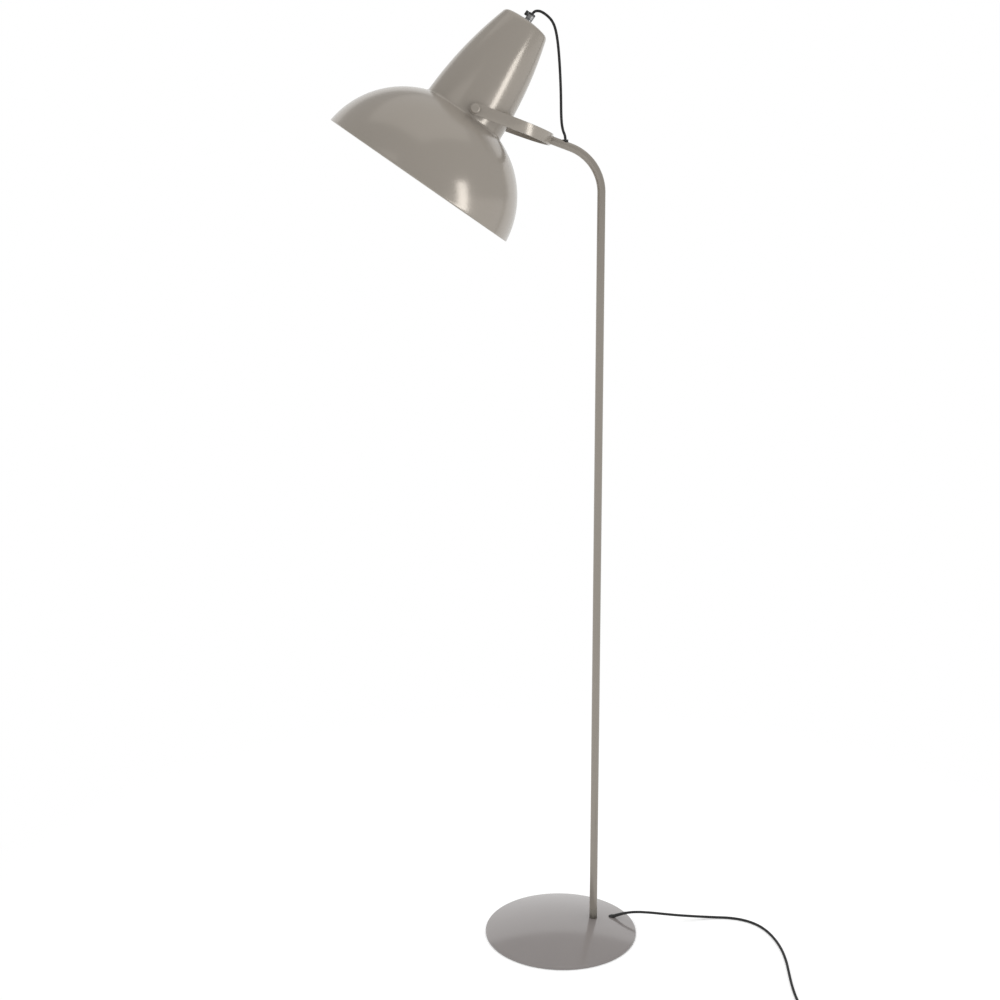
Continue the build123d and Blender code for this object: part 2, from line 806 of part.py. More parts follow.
def inner_lead():
    """The cord inside the arm, the pole and the base, from the arm's bush to the exit bush."""
    top = arm_entry()
    drop = Vector(0, 0, lead_offset / math.cos(math.radians(arm_slope)))
    turn_in = arm_hole_centre() - drop
    corner = bend_corner + Vector(-lead_offset, 0, -lead_offset * math.tan(math.radians(90 - arm_slope) / 2))
    low = channel_floor + channel_width / 2 - 0.1
    foot = Vector(pole_foot.X, arm_y, low)
    above = Vector(pole_foot.X, arm_y, socket_top() + spigot_length + 10)
    way_out = exit_frame()
    dip = wide_channel_floor + cord_radius + FIT
    rise_run = (way_out.origin.Z - dip) / math.tan(math.radians(exit_slope))
    rise = way_out.origin - way_out.z_dir * rise_run / math.cos(math.radians(exit_slope))
    out = Vector(1, 0, 0).rotate(Axis.Z, base_turn)
    beside = foot + out * narrow_length
    points = [top, turn_in, corner, above, foot, beside, rise, exit_start()]
    easy = corner_radii(points)
    radii = [lead_bend, bend_radius - lead_offset, easy[2], lead_bend, *[min(r, 20.0) for r in easy[4:]]]
    return cord_tube("inner_lead", points, radii)


def exit_bush():
    """The slanted bush in the base's cord hole."""
    half = exit_bush_length / 2
    bush = cylinder(exit_bush_diameter / 2, -half, half)
    bush = fillet(bush.edges().filter_by(GeomType.CIRCLE).sort_by(Axis.Z)[-1], 1.0)
    return exit_frame() * (bush - cylinder(cord_radius + FIT, -half - 1, half + 1))


def switch_frame():
    """The foot switch's place: its length along the cord, which runs towards -Y."""
    return Plane(origin=(*switch_centre, 0), x_dir=(0, -1, 0), z_dir=(0, 0, 1))


def mains_cord():
    end = Vector(switch_centre[0], switch_centre[1] + switch_length / 2, switch_split)
    leaves = exit_start() + exit_frame().z_dir * exit_straight
    return cord_tube("mains_cord", [exit_start(), leaves, *mains_route, end])


def link_cord():
    start = Vector(switch_centre[0], switch_centre[1] - switch_length / 2, switch_split)
    return cord_tube("link_cord", [start, *link_route, coil_end(first=True)])


def tail_cord():
    plug = plug_frame()
    enters = plug.origin - plug.x_dir * plug_straight
    return cord_tube("tail_cord", [coil_end(first=False), *tail_route, enters, plug.origin])


def coil_point(angle):
    """A point of the coil and its direction, at an angle wound from its lower end."""
    middle = math.pi * coil_turn_count
    past = angle - middle
    end = angle < 1e-6 or angle > 2 * middle - 1e-6
    radius = coil_middle_radius - coil_pitch * coil_turn_count / 4 + coil_pitch * abs(past) / (2 * math.pi)
    growth = 0.0 if end or abs(past) < 1e-6 else math.copysign(coil_pitch / (2 * math.pi), past)
    climb = max(-1.0, min(1.0, past / (math.pi / 2)))
    height = cord_on_floor + coil_pitch * (1 + math.sin(climb * math.pi / 2)) / 2
    slope = coil_pitch * math.cos(past) / 2 if abs(past) < math.pi / 2 - 1e-6 else 0.0
    out = Vector(-math.sin(angle), -math.cos(angle), 0)
    round_ = Vector(-math.cos(angle), math.sin(angle), 0)
    place = Vector(*coil_centre, height) + out * radius
    return place, (out * growth + round_ * radius + Vector(0, 0, slope)).normalized()


def coil_end(first):
    """The end of the straight stub, one diameter long, at either end of the coil."""
    place, way = coil_point(0.0 if first else 2 * math.pi * coil_turn_count)
    return place - way * cord_diameter if first else place + way * cord_diameter


def two_arcs(start, start_way, end, end_way):
    """Two arcs that leave and arrive in the given directions and meet smoothly."""
    chord = end - start
    both = start_way + end_way
    spread = 2 * (1 - start_way.dot(end_way))
    along = chord.dot(both)
    reach = (-along + math.sqrt(along**2 + spread * chord.dot(chord))) / spread
    middle = (start + end + (start_way - end_way) * reach) * 0.5
    middle_way = (end - end_way * reach) - (start + start_way * reach)
    return [TangentArc(start, middle, tangent=start_way), TangentArc(middle, end, tangent=middle_way)]


def coil_gap(path):
    """The least gap between turns that aren't next to each other along the cord, on points."""
    count = 1200
    points = [path.position_at(i / count) for i in range(count + 1)]
    step = path.length / count
    skip = int(math.ceil(6 * cord_diameter / step))
    least = min(
        (points[i] - points[j]).length for i in range(0, count, 2) for j in range(i + skip, count + 1)
    )
    return least - cord_diameter


def cord_coil():
    """The put-away length: one tube that winds in, climbs a layer and winds out again."""
    count = coil_turn_count * coil_arc_count
    angles = [2 * math.pi * coil_turn_count * i / count for i in range(count + 1)]
    knots = [coil_point(a) for a in angles]
    edges = [Line(coil_end(first=True), knots[0][0])]
    for (a, a_way), (b, b_way) in zip(knots, knots[1:]):
        edges += two_arcs(a, a_way, b, b_way)
    edges.append(Line(knots[-1][0], coil_end(first=False)))
    path = Wire([edge.edge() for edge in edges])
    section = Plane(origin=coil_end(first=True), z_dir=knots[0][1]) * Circle(cord_radius)
    coil = sweep(section, path=path)
    share = coil.volume / (math.pi * cord_radius**2 * path.length)
    gap = coil_gap(path)
    print(f"cord_coil: {path.length:.1f} mm long, volume share {share:.4f}, least gap {gap:.2f} mm")
    return coil


# ---------------------------------------------------------------- foot switch


def switch_slab(low, high, inset=0.0):
    """The switch's rounded outline between two heights."""
    outline = RectangleRounded(
        switch_length - 2 * inset, switch_width - 2 * inset, switch_corner - inset
    )
    return Pos(0, 0, low) * extrude(outline, high - low)


def switch_cord_holes():
    return Pos(0, 0, switch_split) * Rot(0, 90, 0) * Cylinder(cord_radius + FIT, switch_length + 2)


def switch_posts(radius, low, high):
    return [Pos(x * switch_screw_spacing / 2, 0, 0) * cylinder(radius, low, high) for x in (-1, 1)]


def switch_base():
    shell = switch_slab(0, switch_split) - switch_slab(switch_wall, switch_split + 1, switch_wall)
    shell = fillet(shell.edges().group_by(Axis.Z)[0], 0.8)
    screw_holes = switch_posts(switch_screw_diameter / 2 + FIT, -1, 5)
    return switch_frame() * (shell - switch_cord_holes() - screw_holes)


def switch_cover():
    top = switch_height - switch_wall
    shell = switch_slab(switch_split, switch_height)
    shell = fillet(shell.edges().group_by(Axis.Z)[-1], switch_edge_round)
    shell -= switch_slab(switch_split - 1, top, switch_wall)
    shell -= cylinder(button_diameter / 2 + SHELL_GAP, top - 1, switch_height + 1)
    return switch_frame() * (shell - switch_cord_holes())


def button_low():
    return switch_height - switch_wall - SHELL_GAP - button_skirt


def switch_button():
    """The button that a foot presses, with a skirt that keeps it under the cover."""
    top = switch_height + button_rise
    button = cylinder(button_diameter / 2, button_low(), top)
    button = fillet(button.edges().filter_by(GeomType.CIRCLE).sort_by(Axis.Z)[-1], 2.0)
    skirt = cylinder(button_diameter / 2 + 1.5, button_low(), button_low() + button_skirt)
    return switch_frame() * (button + skirt)


def switch_block():
    """The contact block on the switch's floor."""
    block = Pos(0, 0, switch_wall + block_height / 2) * Box(block_size, block_size, block_height)
    return switch_frame() * (block - switch_cord_holes())


def switch_spring():
    low = switch_wall + block_height
    return switch_frame() * ring(spring_diameter / 2, spring_diameter / 2 - 0.8, low, button_low())


def switch_screws():
    """Two screws from below, their tips in the cover's posts."""
    low, high = 0.6, switch_height - switch_wall
    return Compound([switch_frame() * s for s in switch_posts(switch_screw_diameter / 2, low, high)])


# ---------------------------------------------------------------- plug


def plug_frame():
    """The plug's place: its length along X, away from the cord."""
    way = Vector(1, 0, 0).rotate(Axis.Z, plug_heading)
    return Plane(origin=(*plug_start, plug_body_thickness / 2), x_dir=way, z_dir=(0, 0, 1))


def plug_body():
    """A slim two-pin plug with a tapered, ringed strain relief."""
    relief = Pos(plug_relief_length / 2, 0, 0) * Rot(0, 90, 0) * Cone(
        plug_relief_tip, plug_relief_radius, plug_relief_length
    )
    for share in (0.3, 0.55, 0.8):
        relief -= Pos(share * plug_relief_length, 0, 0) * Rot(0, 90, 0) * ring(
            plug_relief_radius + 1, plug_relief_tip, -0.7, 0.7
        )
    tail = Plane.YZ.offset(plug_relief_length) * RectangleRounded(plug_tail_width, plug_tail_thickness, 4)
    face = Plane.YZ.offset(plug_relief_length + plug_body_length) * RectangleRounded(
        plug_body_width, plug_body_thickness, 4
    )
    return plug_frame() * (relief + loft([tail, face]))


def plug_pins():
    start = plug_relief_length + plug_body_length
    pin = Rot(0, 90, 0) * cylinder(plug_pin_diameter / 2, start, start + plug_pin_length)
    pin = fillet(pin.edges().filter_by(GeomType.CIRCLE).sort_by(Axis.X)[-1], 1.5)
    return Compound([plug_frame() * (Pos(0, y * plug_pin_spacing / 2, 0) * pin) for y in (-1, 1)])


# ---------------------------------------------------------------- the whole lamp


def shade_parts():
    """The shade and the pieces whose faces are shaped to it."""
    outer, inner = shade_form(0), shade_form(shade_wall)
    parts = {
        "shade": shade_frame * shade_shell(outer, inner),
        "cord_grip": gland_body(outer),
    }
    for place, way in (("near", -1), ("far", 1)):
        parts[f"pivot_screw_{place}"] = pivot_screw(way)
        parts[f"pivot_spacer_{place}"] = pivot_spacer(way, outer)
        parts[f"pivot_nut_{place}"] = pivot_nut(way, inner)
    return parts


def all_parts():
    return {
        "base_cover": base_cover(),
        "base_weight": base_weight(),
        "base_plate": base_plate(),
        "base_screws": base_screws(),
        "base_pad": base_pad(),
        "pole": pole(),
        "pole_socket": pole_socket(),
        "pole_nut": pole_nut(),
        "arm_plug": arm_plug(),
        "arm_bush": arm_bush(),
        "fork": fork(),
        "fork_saddle": fork_saddle(),
        "fork_screw": fork_screw(),
        **shade_parts(),
        "grip_screw": grip_screw(),
        "crown_nipple": nipple(),
        "crown_nut": crown_nut(),
        "holder_cap": holder_cap(),
        "holder_body": holder_body(),
        "holder_contact": holder_contact(),
        "holder_thread": holder_thread(),
        "bulb_glass": bulb_glass(),
        "bulb_cap": bulb_cap(),
        "bulb_contact": bulb_contact(),
        "shade_lead": shade_lead(),
        "shade_cord": shade_cord(),
        "inner_lead": inner_lead(),
        "exit_bush": exit_bush(),
        "mains_cord": mains_cord(),
        "switch_base": switch_base(),
        "switch_cover": switch_cover(),
        "switch_button": switch_button(),
        "switch_block": switch_block(),
        "switch_spring": switch_spring(),
        "switch_screws": switch_screws(),
        "link_cord": link_cord(),
        "cord_coil": cord_coil(),
        "tail_cord": tail_cord(),
        "plug_body": plug_body(),
        "plug_pins": plug_pins(),
    }


os.makedirs("parts", exist_ok=True)
for node, shape in all_parts().items():
    export_step(shape, f"parts/{node}.step")
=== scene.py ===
"""Dresses the gooseneck reading floor lamp: enamelled shade, fork, tube and base, cord, switch and plug.

Metres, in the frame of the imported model: +Z is up, the shade points to -X, the lamp is seen from -Y.
"""

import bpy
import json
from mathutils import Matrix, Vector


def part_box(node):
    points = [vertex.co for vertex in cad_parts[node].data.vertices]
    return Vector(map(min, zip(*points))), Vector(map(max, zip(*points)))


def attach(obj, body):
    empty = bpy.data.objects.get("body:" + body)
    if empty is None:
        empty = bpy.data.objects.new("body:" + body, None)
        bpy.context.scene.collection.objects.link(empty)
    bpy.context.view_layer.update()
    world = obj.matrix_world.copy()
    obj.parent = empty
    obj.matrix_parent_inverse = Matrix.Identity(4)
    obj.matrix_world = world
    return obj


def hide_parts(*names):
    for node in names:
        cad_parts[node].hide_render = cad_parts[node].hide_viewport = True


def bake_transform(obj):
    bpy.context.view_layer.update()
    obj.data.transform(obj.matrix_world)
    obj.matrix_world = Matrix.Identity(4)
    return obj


bl_info = {
    "name": "Reading Floor Lamp",
    "version": (1, 0, 0),
    "blender": (4, 5, 0),
    "location": "3D View > Sidebar > Reading Lamp",
    "description": "Builds the finished surfaces, cords and studio of a reading floor lamp",
    "category": "Object",
}

import json
import math

import bmesh
import bpy
from bpy.props import FloatProperty, FloatVectorProperty, IntProperty, PointerProperty
from mathutils import Matrix, Vector

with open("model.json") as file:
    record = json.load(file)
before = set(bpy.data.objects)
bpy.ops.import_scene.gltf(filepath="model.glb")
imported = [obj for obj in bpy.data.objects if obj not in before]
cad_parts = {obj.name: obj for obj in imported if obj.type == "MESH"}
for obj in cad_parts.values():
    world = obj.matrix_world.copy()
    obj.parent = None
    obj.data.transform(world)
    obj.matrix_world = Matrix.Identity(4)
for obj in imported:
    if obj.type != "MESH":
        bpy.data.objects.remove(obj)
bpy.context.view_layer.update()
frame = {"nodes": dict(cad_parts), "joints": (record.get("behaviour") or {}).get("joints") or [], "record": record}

# ---------------------------------------------------------------- places taken from the frame

HEAD_JOINT = next(joint for joint in frame["joints"] if joint["name"] == "head_tilt")
PIVOT = Vector(HEAD_JOINT["pos_m"])
LAMP_PLANE_Y = PIVOT.y

# ---------------------------------------------------------------- sizes and colours a user may change


def length(name, description, default):
    return FloatProperty(name=name, description=description, default=default, unit="LENGTH", precision=5)


def angle(name, description, degrees):
    return FloatProperty(
        name=name, description=description, default=math.radians(degrees), subtype="ANGLE", precision=4
    )


def colour(name, description, default):
    return FloatVectorProperty(
        name=name, description=description, default=default, subtype="COLOR", size=3, min=0.0, max=1.0
    )


def share(name, description, default):
    return FloatProperty(name=name, description=description, default=default, min=0.0, subtype="FACTOR")


def power(name, description, default):
    return FloatProperty(name=name, description=description, default=default, unit="POWER")


class LampShadeSizes(bpy.types.PropertyGroup):
    tilt: angle("Tilt", "Angle between the shade's axis and the vertical", 34.6)
    pivot_height: length("Pivot height", "Pivot above the rim, along the shade's axis", 0.138)
    pivot_offset: length("Pivot offset", "Pivot from the shade's axis, towards the pole", 0.0078)
    wall: length("Wall", "Thickness of the spun metal", 0.001)
    rim_radius: length("Rim radius", "Outer radius of the rim", 0.165)
    bead_radius: length("Bead radius", "Radius of the rolled bead on the rim", 0.0015)
    dome_arc_radius: length("Dome arc radius", "Radius of the dome's outline", 0.1492)
    dome_arc_drop: length("Dome arc drop", "How far the dome's arc centre lies below the rim", 0.0163)
    cone_arc_radius: length("Cone arc radius", "Radius of the cone's outline", 0.6215)
    cone_arc_height: length("Cone arc height", "Height of the cone's arc centre", 0.1067)
    cone_widest_radius: length("Cone radius", "Widest radius of the cone's outline", 0.0675)
    crown_height: length("Crown height", "Top of the shade above the rim", 0.2985)
    crown_arc_radius: length("Crown arc radius", "Radius of the crown's outline", 0.158)
    crown_hole_radius: length("Crown hole", "Radius of the hole for the threaded tube", 0.0051)
    neck_round: length("Neck round", "Radius between dome and cone", 0.005)
    crown_round: length("Crown round", "Radius between cone and crown", 0.007)


class LampForkSizes(bpy.types.PropertyGroup):
    reach: length("Reach", "From the pivot to the fork's back", 0.1305)
    inside: length("Inside", "Gap between the arms", 0.137)
    width: length("Width", "Width of the flat strip", 0.018)
    thickness: length("Thickness", "Thickness of the flat strip", 0.003)
    edge_round: length("Edge round", "Radius on the strip's edges", 0.0006)


class LampStandSizes(bpy.types.PropertyGroup):
    base_radius: length("Base radius", "Radius of the base", 0.1275)
    base_height: length("Base height", "Top of the dome above the floor", 0.019)
    base_edge_height: length("Base edge height", "Height at which the dome's arc meets the side", 0.0045)
    base_edge_round: length("Base edge round", "Radius of the base's edge", 0.0025)
    base_skirt_lift: length("Skirt lift", "The cover's lower edge above the floor", 0.001)
    cover_wall: length("Cover wall", "Thickness of the base's cover", 0.0012)
    tube_radius: length("Tube radius", "Outer radius of the pole", 0.0065)
    bend_radius: length("Bend radius", "Radius of the bend, on the tube's middle", 0.075)
    bend_start: length("Bend start", "Height at which the bend starts", 1.241)
    arm_slope: angle("Arm slope", "The arm's angle above level", 20.0)
    arm_run: length("Arm run", "Straight length after the bend", 0.031)
    cord_diameter: length("Cord diameter", "Diameter of the cord's jacket", 0.0042)
    bush_radius: length("Bush radius", "Radius of the bush in the base's cord hole", 0.004)
    bush_length: length("Bush length", "Length of the bush in the base's cord hole", 0.007)
    relief_length: length("Relief length", "Length of the tapered strain relief on the bush", 0.022)
    relief_radius: length("Relief radius", "Radius of the strain relief at the bush", 0.0030)
    relief_tip_radius: length("Relief tip radius", "Radius of the strain relief's thin end", 0.0024)


class LampColours(bpy.types.PropertyGroup):
    taupe: colour("Taupe enamel", "Gloss enamel of shade, fork and tube", (0.375, 0.310, 0.214))
    base_grey: colour("Base enamel", "Gloss enamel of the base", (0.250, 0.228, 0.220))
    foot_grey: colour("Foot enamel", "Darker enamel of the pole's foot", (0.205, 0.182, 0.168))
    shade_inside: colour("Shade inside", "Light enamel inside the shade", (0.800, 0.785, 0.750))
    grip_grey: colour("Cord grip", "Grey of the cord grip", (0.235, 0.235, 0.235))
    black: colour("Black plastic", "Moulded black plastic", (0.018, 0.018, 0.019))
    jacket: colour("Cord jacket", "Soft jacket of the cord", (0.030, 0.031, 0.033))


class LampStudio(bpy.types.PropertyGroup):
    key_power: power("Key", "Power of the large soft light", 4.0)
    panel_power: power("Panel", "Power of the low panel", 9.4)
    top_power: power("Top", "Power of the light above", 6.0)
    room_level: share("Room", "Level of the even light from all around", 0.92)
    front_level: share("Front", "How light gloss surfaces see the room beside the white backdrop", 0.42)
    backdrop_width: share("Backdrop width", "Half the backdrop's width over its distance", 1.38)
    backdrop_height: share("Backdrop height", "The backdrop's height over its distance", 0.78)
    floor_lift: share("Floor lift", "Light added to the floor as it is seen", 0.30)
    fade_start: length("Fade start", "Distance from the base at which the floor starts to fade", 0.30)
    fade_end: length("Fade end", "Distance from the base from which the floor is plain white", 1.10)


class LampSettings(bpy.types.PropertyGroup):
    shade: PointerProperty(type=LampShadeSizes)
    fork: PointerProperty(type=LampForkSizes)
    stand: PointerProperty(type=LampStandSizes)
    colours: PointerProperty(type=LampColours)
    studio: PointerProperty(type=LampStudio)
    round_steps: IntProperty(name="Steps", description="Steps round the shade and the base", default=192)


def settings():
    return bpy.context.scene.reading_lamp


# ---------------------------------------------------------------- shader maths


class Socket:
    """An output socket of a material; arithmetic on it adds Math nodes."""

    def __init__(self, finish, socket):
        self.finish = finish
        self.socket = socket

    def maths(self, operation, *operands):
        return self.finish.node("ShaderNodeMath", {"operation": operation}, dict(enumerate(operands)))

    def __add__(self, other):
        return self.maths("ADD", self, other)

    def __radd__(self, other):
        return self.maths("ADD", other, self)

    def __sub__(self, other):
        return self.maths("SUBTRACT", self, other)

    def __rsub__(self, other):
        return self.maths("SUBTRACT", other, self)

    def __mul__(self, other):
        return self.maths("MULTIPLY", self, other)

    def __rmul__(self, other):
        return self.maths("MULTIPLY", other, self)

    def at_least(self, other):
        return self.maths("MAXIMUM", self, other)

    def magnitude(self):
        return self.maths("ABSOLUTE", self)


class NodeTree:
    """A tree of shader nodes, to which one method adds every kind of node."""

    def __init__(self, tree):
        self.tree = tree

    def node(self, kind, options=None, values=None, output=0):
        """Adds a node, sets its options first and then its sockets, and gives one of its outputs."""
        made = self.tree.nodes.new(kind)
        for option, value in (options or {}).items():
            if option == "stops":
                self.set_stops(made.color_ramp, value)
            else:
                setattr(made, option, value)
        for key, value in (values or {}).items():
            self.feed(made.inputs[key], value)
        return Socket(self, made.outputs[output])

    def set_stops(self, ramp, stops):
        while len(ramp.elements) < len(stops):
            ramp.elements.new(1.0)
        for element, (position, level) in zip(ramp.elements, stops):
            element.position = position
            element.color = (level, level, level, 1.0)

    def feed(self, socket, value):
        if isinstance(value, Socket):
            self.tree.links.new(value.socket, socket)
        else:
            socket.default_value = value

    def ray(self, kind):
        """1 for the rays of one kind and 0 for all others."""
        return self.node("ShaderNodeLightPath", output=f"Is {kind} Ray")

    def eased(self, value, start, end):
        """Eases from 0 to 1 while a value goes from start to end."""
        values = {"Value": value, "From Min": start, "From Max": end}
        return self.node("ShaderNodeMapRange", {"interpolation_type": "SMOOTHSTEP"}, values)

    def axes(self, vector):
        """The X, Y and Z of a vector."""
        split = self.node("ShaderNodeSeparateXYZ", None, {"Vector": vector}).socket.node
        return [Socket(self, output) for output in split.outputs]


class Finish(NodeTree):
    """The nodes of one material, round its surface shader."""

    def __init__(self, name):
        self.material = bpy.data.materials.new(name)
        self.material.use_nodes = True
        super().__init__(self.material.node_tree)
        self.surface = self.tree.nodes["Principled BSDF"]

    def set(self, **values):
        """Sets sockets of the surface shader, with underscores for the spaces in their names."""
        for key, value in values.items():
            self.feed(self.surface.inputs[key.replace("_", " ")], value)
        return self.material

    def place(self):
        """Where a point lies on the lamp, in metres."""
        return self.node("ShaderNodeTexCoord", output="Object")

    def noise(self, scale, detail=2.0, roughness=0.5):
        values = {"Vector": self.place(), "Scale": scale, "Detail": detail, "Roughness": roughness}
        return self.node("ShaderNodeTexNoise", None, values)

    def ramp(self, value, *stops):
        return self.node("ShaderNodeValToRGB", {"stops": stops}, {"Fac": value})

    def blend(self, factor, first, second):
        """A colour between two others."""
        values = {"Factor": factor, 6: rgba(first), 7: rgba(second)}
        return self.node("ShaderNodeMix", {"data_type": "RGBA"}, values, output=2)

    def bump(self, height, distance):
        return self.node("ShaderNodeBump", None, {"Height": height, "Distance": distance})


def rgba(value):
    return value if isinstance(value, Socket) else (*value, 1.0)


def shaded(value, factor):
    """A colour made lighter or darker."""
    return tuple(min(1.0, channel * factor) for channel in value)


# ---------------------------------------------------------------- finishes


def gloss_enamel(name, tone, roughness=0.20):
    """Stoved gloss enamel: faint orange peel, soft shifts of tone, dust specks in the coat."""
    finish = Finish(name)
    drift = finish.noise(9.0, detail=3.0)
    peel = finish.noise(420.0, detail=1.0)
    speck = finish.ramp(finish.noise(1500.0, detail=2.0), (0.70, 0.0), (0.78, 1.0))
    toned = finish.blend(drift, shaded(tone, 0.95), shaded(tone, 1.05))
    return finish.set(
        Base_Color=finish.blend(speck * 0.25, toned, shaded(tone, 0.80)),
        Roughness=roughness + 0.06 * drift,
        Coat_Weight=0.75 - 0.30 * speck,
        Coat_Roughness=0.05,
        Normal=finish.bump(peel, 0.000022),
    )


def satin_enamel(name, tone):
    """Satin enamel with a fine even grain and slight wear in its tone."""
    finish = Finish(name)
    drift = finish.noise(14.0, detail=4.0)
    grain = finish.noise(1900.0, detail=2.0)
    return finish.set(
        Base_Color=finish.blend(drift, shaded(tone, 0.92), shaded(tone, 1.08)),
        Roughness=0.34 + 0.10 * drift,
        Coat_Weight=0.20 + 0.10 * grain,
        Coat_Roughness=0.18,
        Normal=finish.bump(grain, 0.00005),
    )


def light_enamel(name, tone):
    """The light, matt enamel inside the shade."""
    finish = Finish(name)
    drift = finish.noise(18.0, detail=3.0)
    grain = finish.noise(900.0, detail=2.0)
    return finish.set(
        Base_Color=finish.blend(drift, shaded(tone, 0.96), tone),
        Roughness=0.48 + 0.08 * drift,
        Normal=finish.bump(grain, 0.00004),
    )


def moulded_plastic(name, tone, roughness=0.42):
    """Moulded plastic with a fine spark-eroded grain."""
    finish = Finish(name)
    grain = finish.noise(2600.0, detail=3.0)
    drift = finish.noise(60.0, detail=2.0)
    return finish.set(
        Base_Color=finish.blend(drift, shaded(tone, 0.85), shaded(tone, 1.35)),
        Roughness=roughness + 0.12 * grain,
        Normal=finish.bump(grain, 0.00006),
    )


def soft_jacket(name, tone):
    """A cord's soft jacket, with the faint waves of the cores inside."""
    finish = Finish(name)
    waves = finish.noise(130.0, detail=1.0)
    grain = finish.noise(3000.0, detail=2.0)
    return finish.set(
        Base_Color=finish.blend(waves, shaded(tone, 0.8), shaded(tone, 1.5)),
        Roughness=0.40 + 0.15 * grain,
        Normal=finish.bump(waves * 0.7 + grain * 0.3, 0.00010),
    )


def bright_metal(name, tone, roughness):
    """Plated or turned metal with fine marks of the tool."""
    finish = Finish(name)
    marks = finish.noise(2200.0, detail=4.0, roughness=0.7)
    stain = finish.noise(70.0, detail=3.0)
    return finish.set(
        Base_Color=finish.blend(stain, shaded(tone, 0.82), tone),
        Metallic=1.0,
        Roughness=roughness + 0.15 * stain,
        Normal=finish.bump(marks, 0.00002),
    )


def sand_cast_iron(name, tone):
    """Raw cast iron with the grain of its sand mould."""
    finish = Finish(name)
    sand = finish.noise(700.0, detail=5.0, roughness=0.7)
    rust = finish.ramp(finish.noise(40.0, detail=4.0), (0.52, 0.0), (0.75, 1.0))
    return finish.set(
        Base_Color=finish.blend(rust * 0.5, tone, (0.16, 0.075, 0.035)),
        Metallic=0.55 - 0.4 * rust,
        Roughness=0.62 + 0.25 * sand,
        Normal=finish.bump(sand, 0.0003),
    )


def pad_rubber(name, tone):
    """The dense foam rubber under the base."""
    finish = Finish(name)
    pores = finish.node("ShaderNodeTexVoronoi", None, {"Vector": finish.place(), "Scale": 900.0})
    return finish.set(
        Base_Color=finish.blend(pores, shaded(tone, 0.6), shaded(tone, 1.5)),
        Roughness=0.80 + 0.10 * pores,
        Normal=finish.bump(pores, 0.0001),
    )


def opal_glass(name):
    """The bulb's opal glass."""
    finish = Finish(name)
    cloud = finish.noise(30.0, detail=3.0)
    return finish.set(
        Base_Color=finish.blend(cloud, (0.86, 0.86, 0.84), (0.94, 0.94, 0.93)),
        Roughness=0.22 + 0.06 * cloud,
        Coat_Weight=0.5 + 0.1 * cloud,
        Normal=finish.bump(cloud, 0.00002),
    )


def finish_named(name):
    """Gives a finish of the lamp, made the first time that it is asked for."""
    colours = settings().colours
    makers = {
        "taupe_enamel": lambda: gloss_enamel(name, colours.taupe),
        "base_enamel": lambda: gloss_enamel(name, colours.base_grey, 0.16),
        "foot_enamel": lambda: satin_enamel(name, colours.foot_grey),
        "inside_enamel": lambda: light_enamel(name, colours.shade_inside),
        "grip_grey": lambda: moulded_plastic(name, colours.grip_grey, 0.30),
        "black_plastic": lambda: moulded_plastic(name, colours.black),
        "holder_plastic": lambda: moulded_plastic(name, shaded(colours.black, 1.8), 0.32),
        "cord_jacket": lambda: soft_jacket(name, colours.jacket),
        "plated_steel": lambda: bright_metal(name, (0.62, 0.62, 0.61), 0.24),
        "brass": lambda: bright_metal(name, (0.78, 0.60, 0.30), 0.22),
        "thin_metal": lambda: bright_metal(name, (0.74, 0.74, 0.75), 0.28),
        "raw_iron": lambda: sand_cast_iron(name, (0.16, 0.16, 0.17)),
        "pad_felt": lambda: pad_rubber(name, (0.035, 0.035, 0.036)),
        "bulb_glass": lambda: opal_glass(name),
    }
    return bpy.data.materials.get(name) or makers[name]()


# ---------------------------------------------------------------- making pieces

# Corners nearer than this become one, and edges that turn by more degrees than this stay crisp.
MERGE = 1e-6
SHARP = 35.0


def add_object(name, data):
    made = bpy.data.objects.new(name, data)
    bpy.context.scene.collection.objects.link(made)
    return made


def finish_piece(name, shape, body, finishes, replaced, sharp=SHARP):
    """Turns a bmesh into a piece of the lamp that rides on a body and stands for CAD nodes."""
    mesh = bpy.data.meshes.new(name)
    shape.to_mesh(mesh)
    shape.free()
    mesh.shade_smooth()
    mesh.set_sharp_from_angle(angle=math.radians(sharp))
    for finish in finishes:
        mesh.materials.append(finish_named(finish))
    piece = add_object(name, mesh)
    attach(piece, body)
    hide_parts(*replaced)
    return piece


def outline_in(shape, points, closed=True):
    """Puts a line of edges in the XZ plane into a bmesh."""
    corners = [shape.verts.new((x, 0.0, z)) for x, z in points]
    pairs = list(zip(corners, corners[1:] + corners[:1]))
    edges = [shape.edges.new(pair) for pair in (pairs if closed else pairs[:-1])]
    return corners + edges


def turned_on_z(points, steps, closed=True):
    """The shape that an outline of (radius, height) points makes when it is turned about Z."""
    shape = bmesh.new()
    outline = outline_in(shape, points, closed)
    bmesh.ops.spin(
        shape, geom=outline, cent=(0, 0, 0), axis=(0, 0, 1), angle=2 * math.pi, steps=steps, use_merge=True
    )
    bmesh.ops.remove_doubles(shape, verts=shape.verts, dist=MERGE)
    bmesh.ops.recalc_face_normals(shape, faces=shape.faces)
    return shape


def open_rim(shape, wanted):
    """The edges of the open rims whose corners are all at a wanted place."""
    return [e for e in shape.edges if e.is_boundary and all(wanted(v.co) for v in e.verts)]


def with_corners(edges):
    return list(dict.fromkeys(v for e in edges for v in e.verts)) + edges


def pulled(shape, edges, way):
    """Extrudes edges by a vector and gives the edges at the far side."""
    made = bmesh.ops.extrude_edge_only(shape, edges=edges)["geom"]
    bmesh.ops.translate(shape, verts=[v for v in made if isinstance(v, bmesh.types.BMVert)], vec=way)
    return [e for e in made if isinstance(e, bmesh.types.BMEdge)]


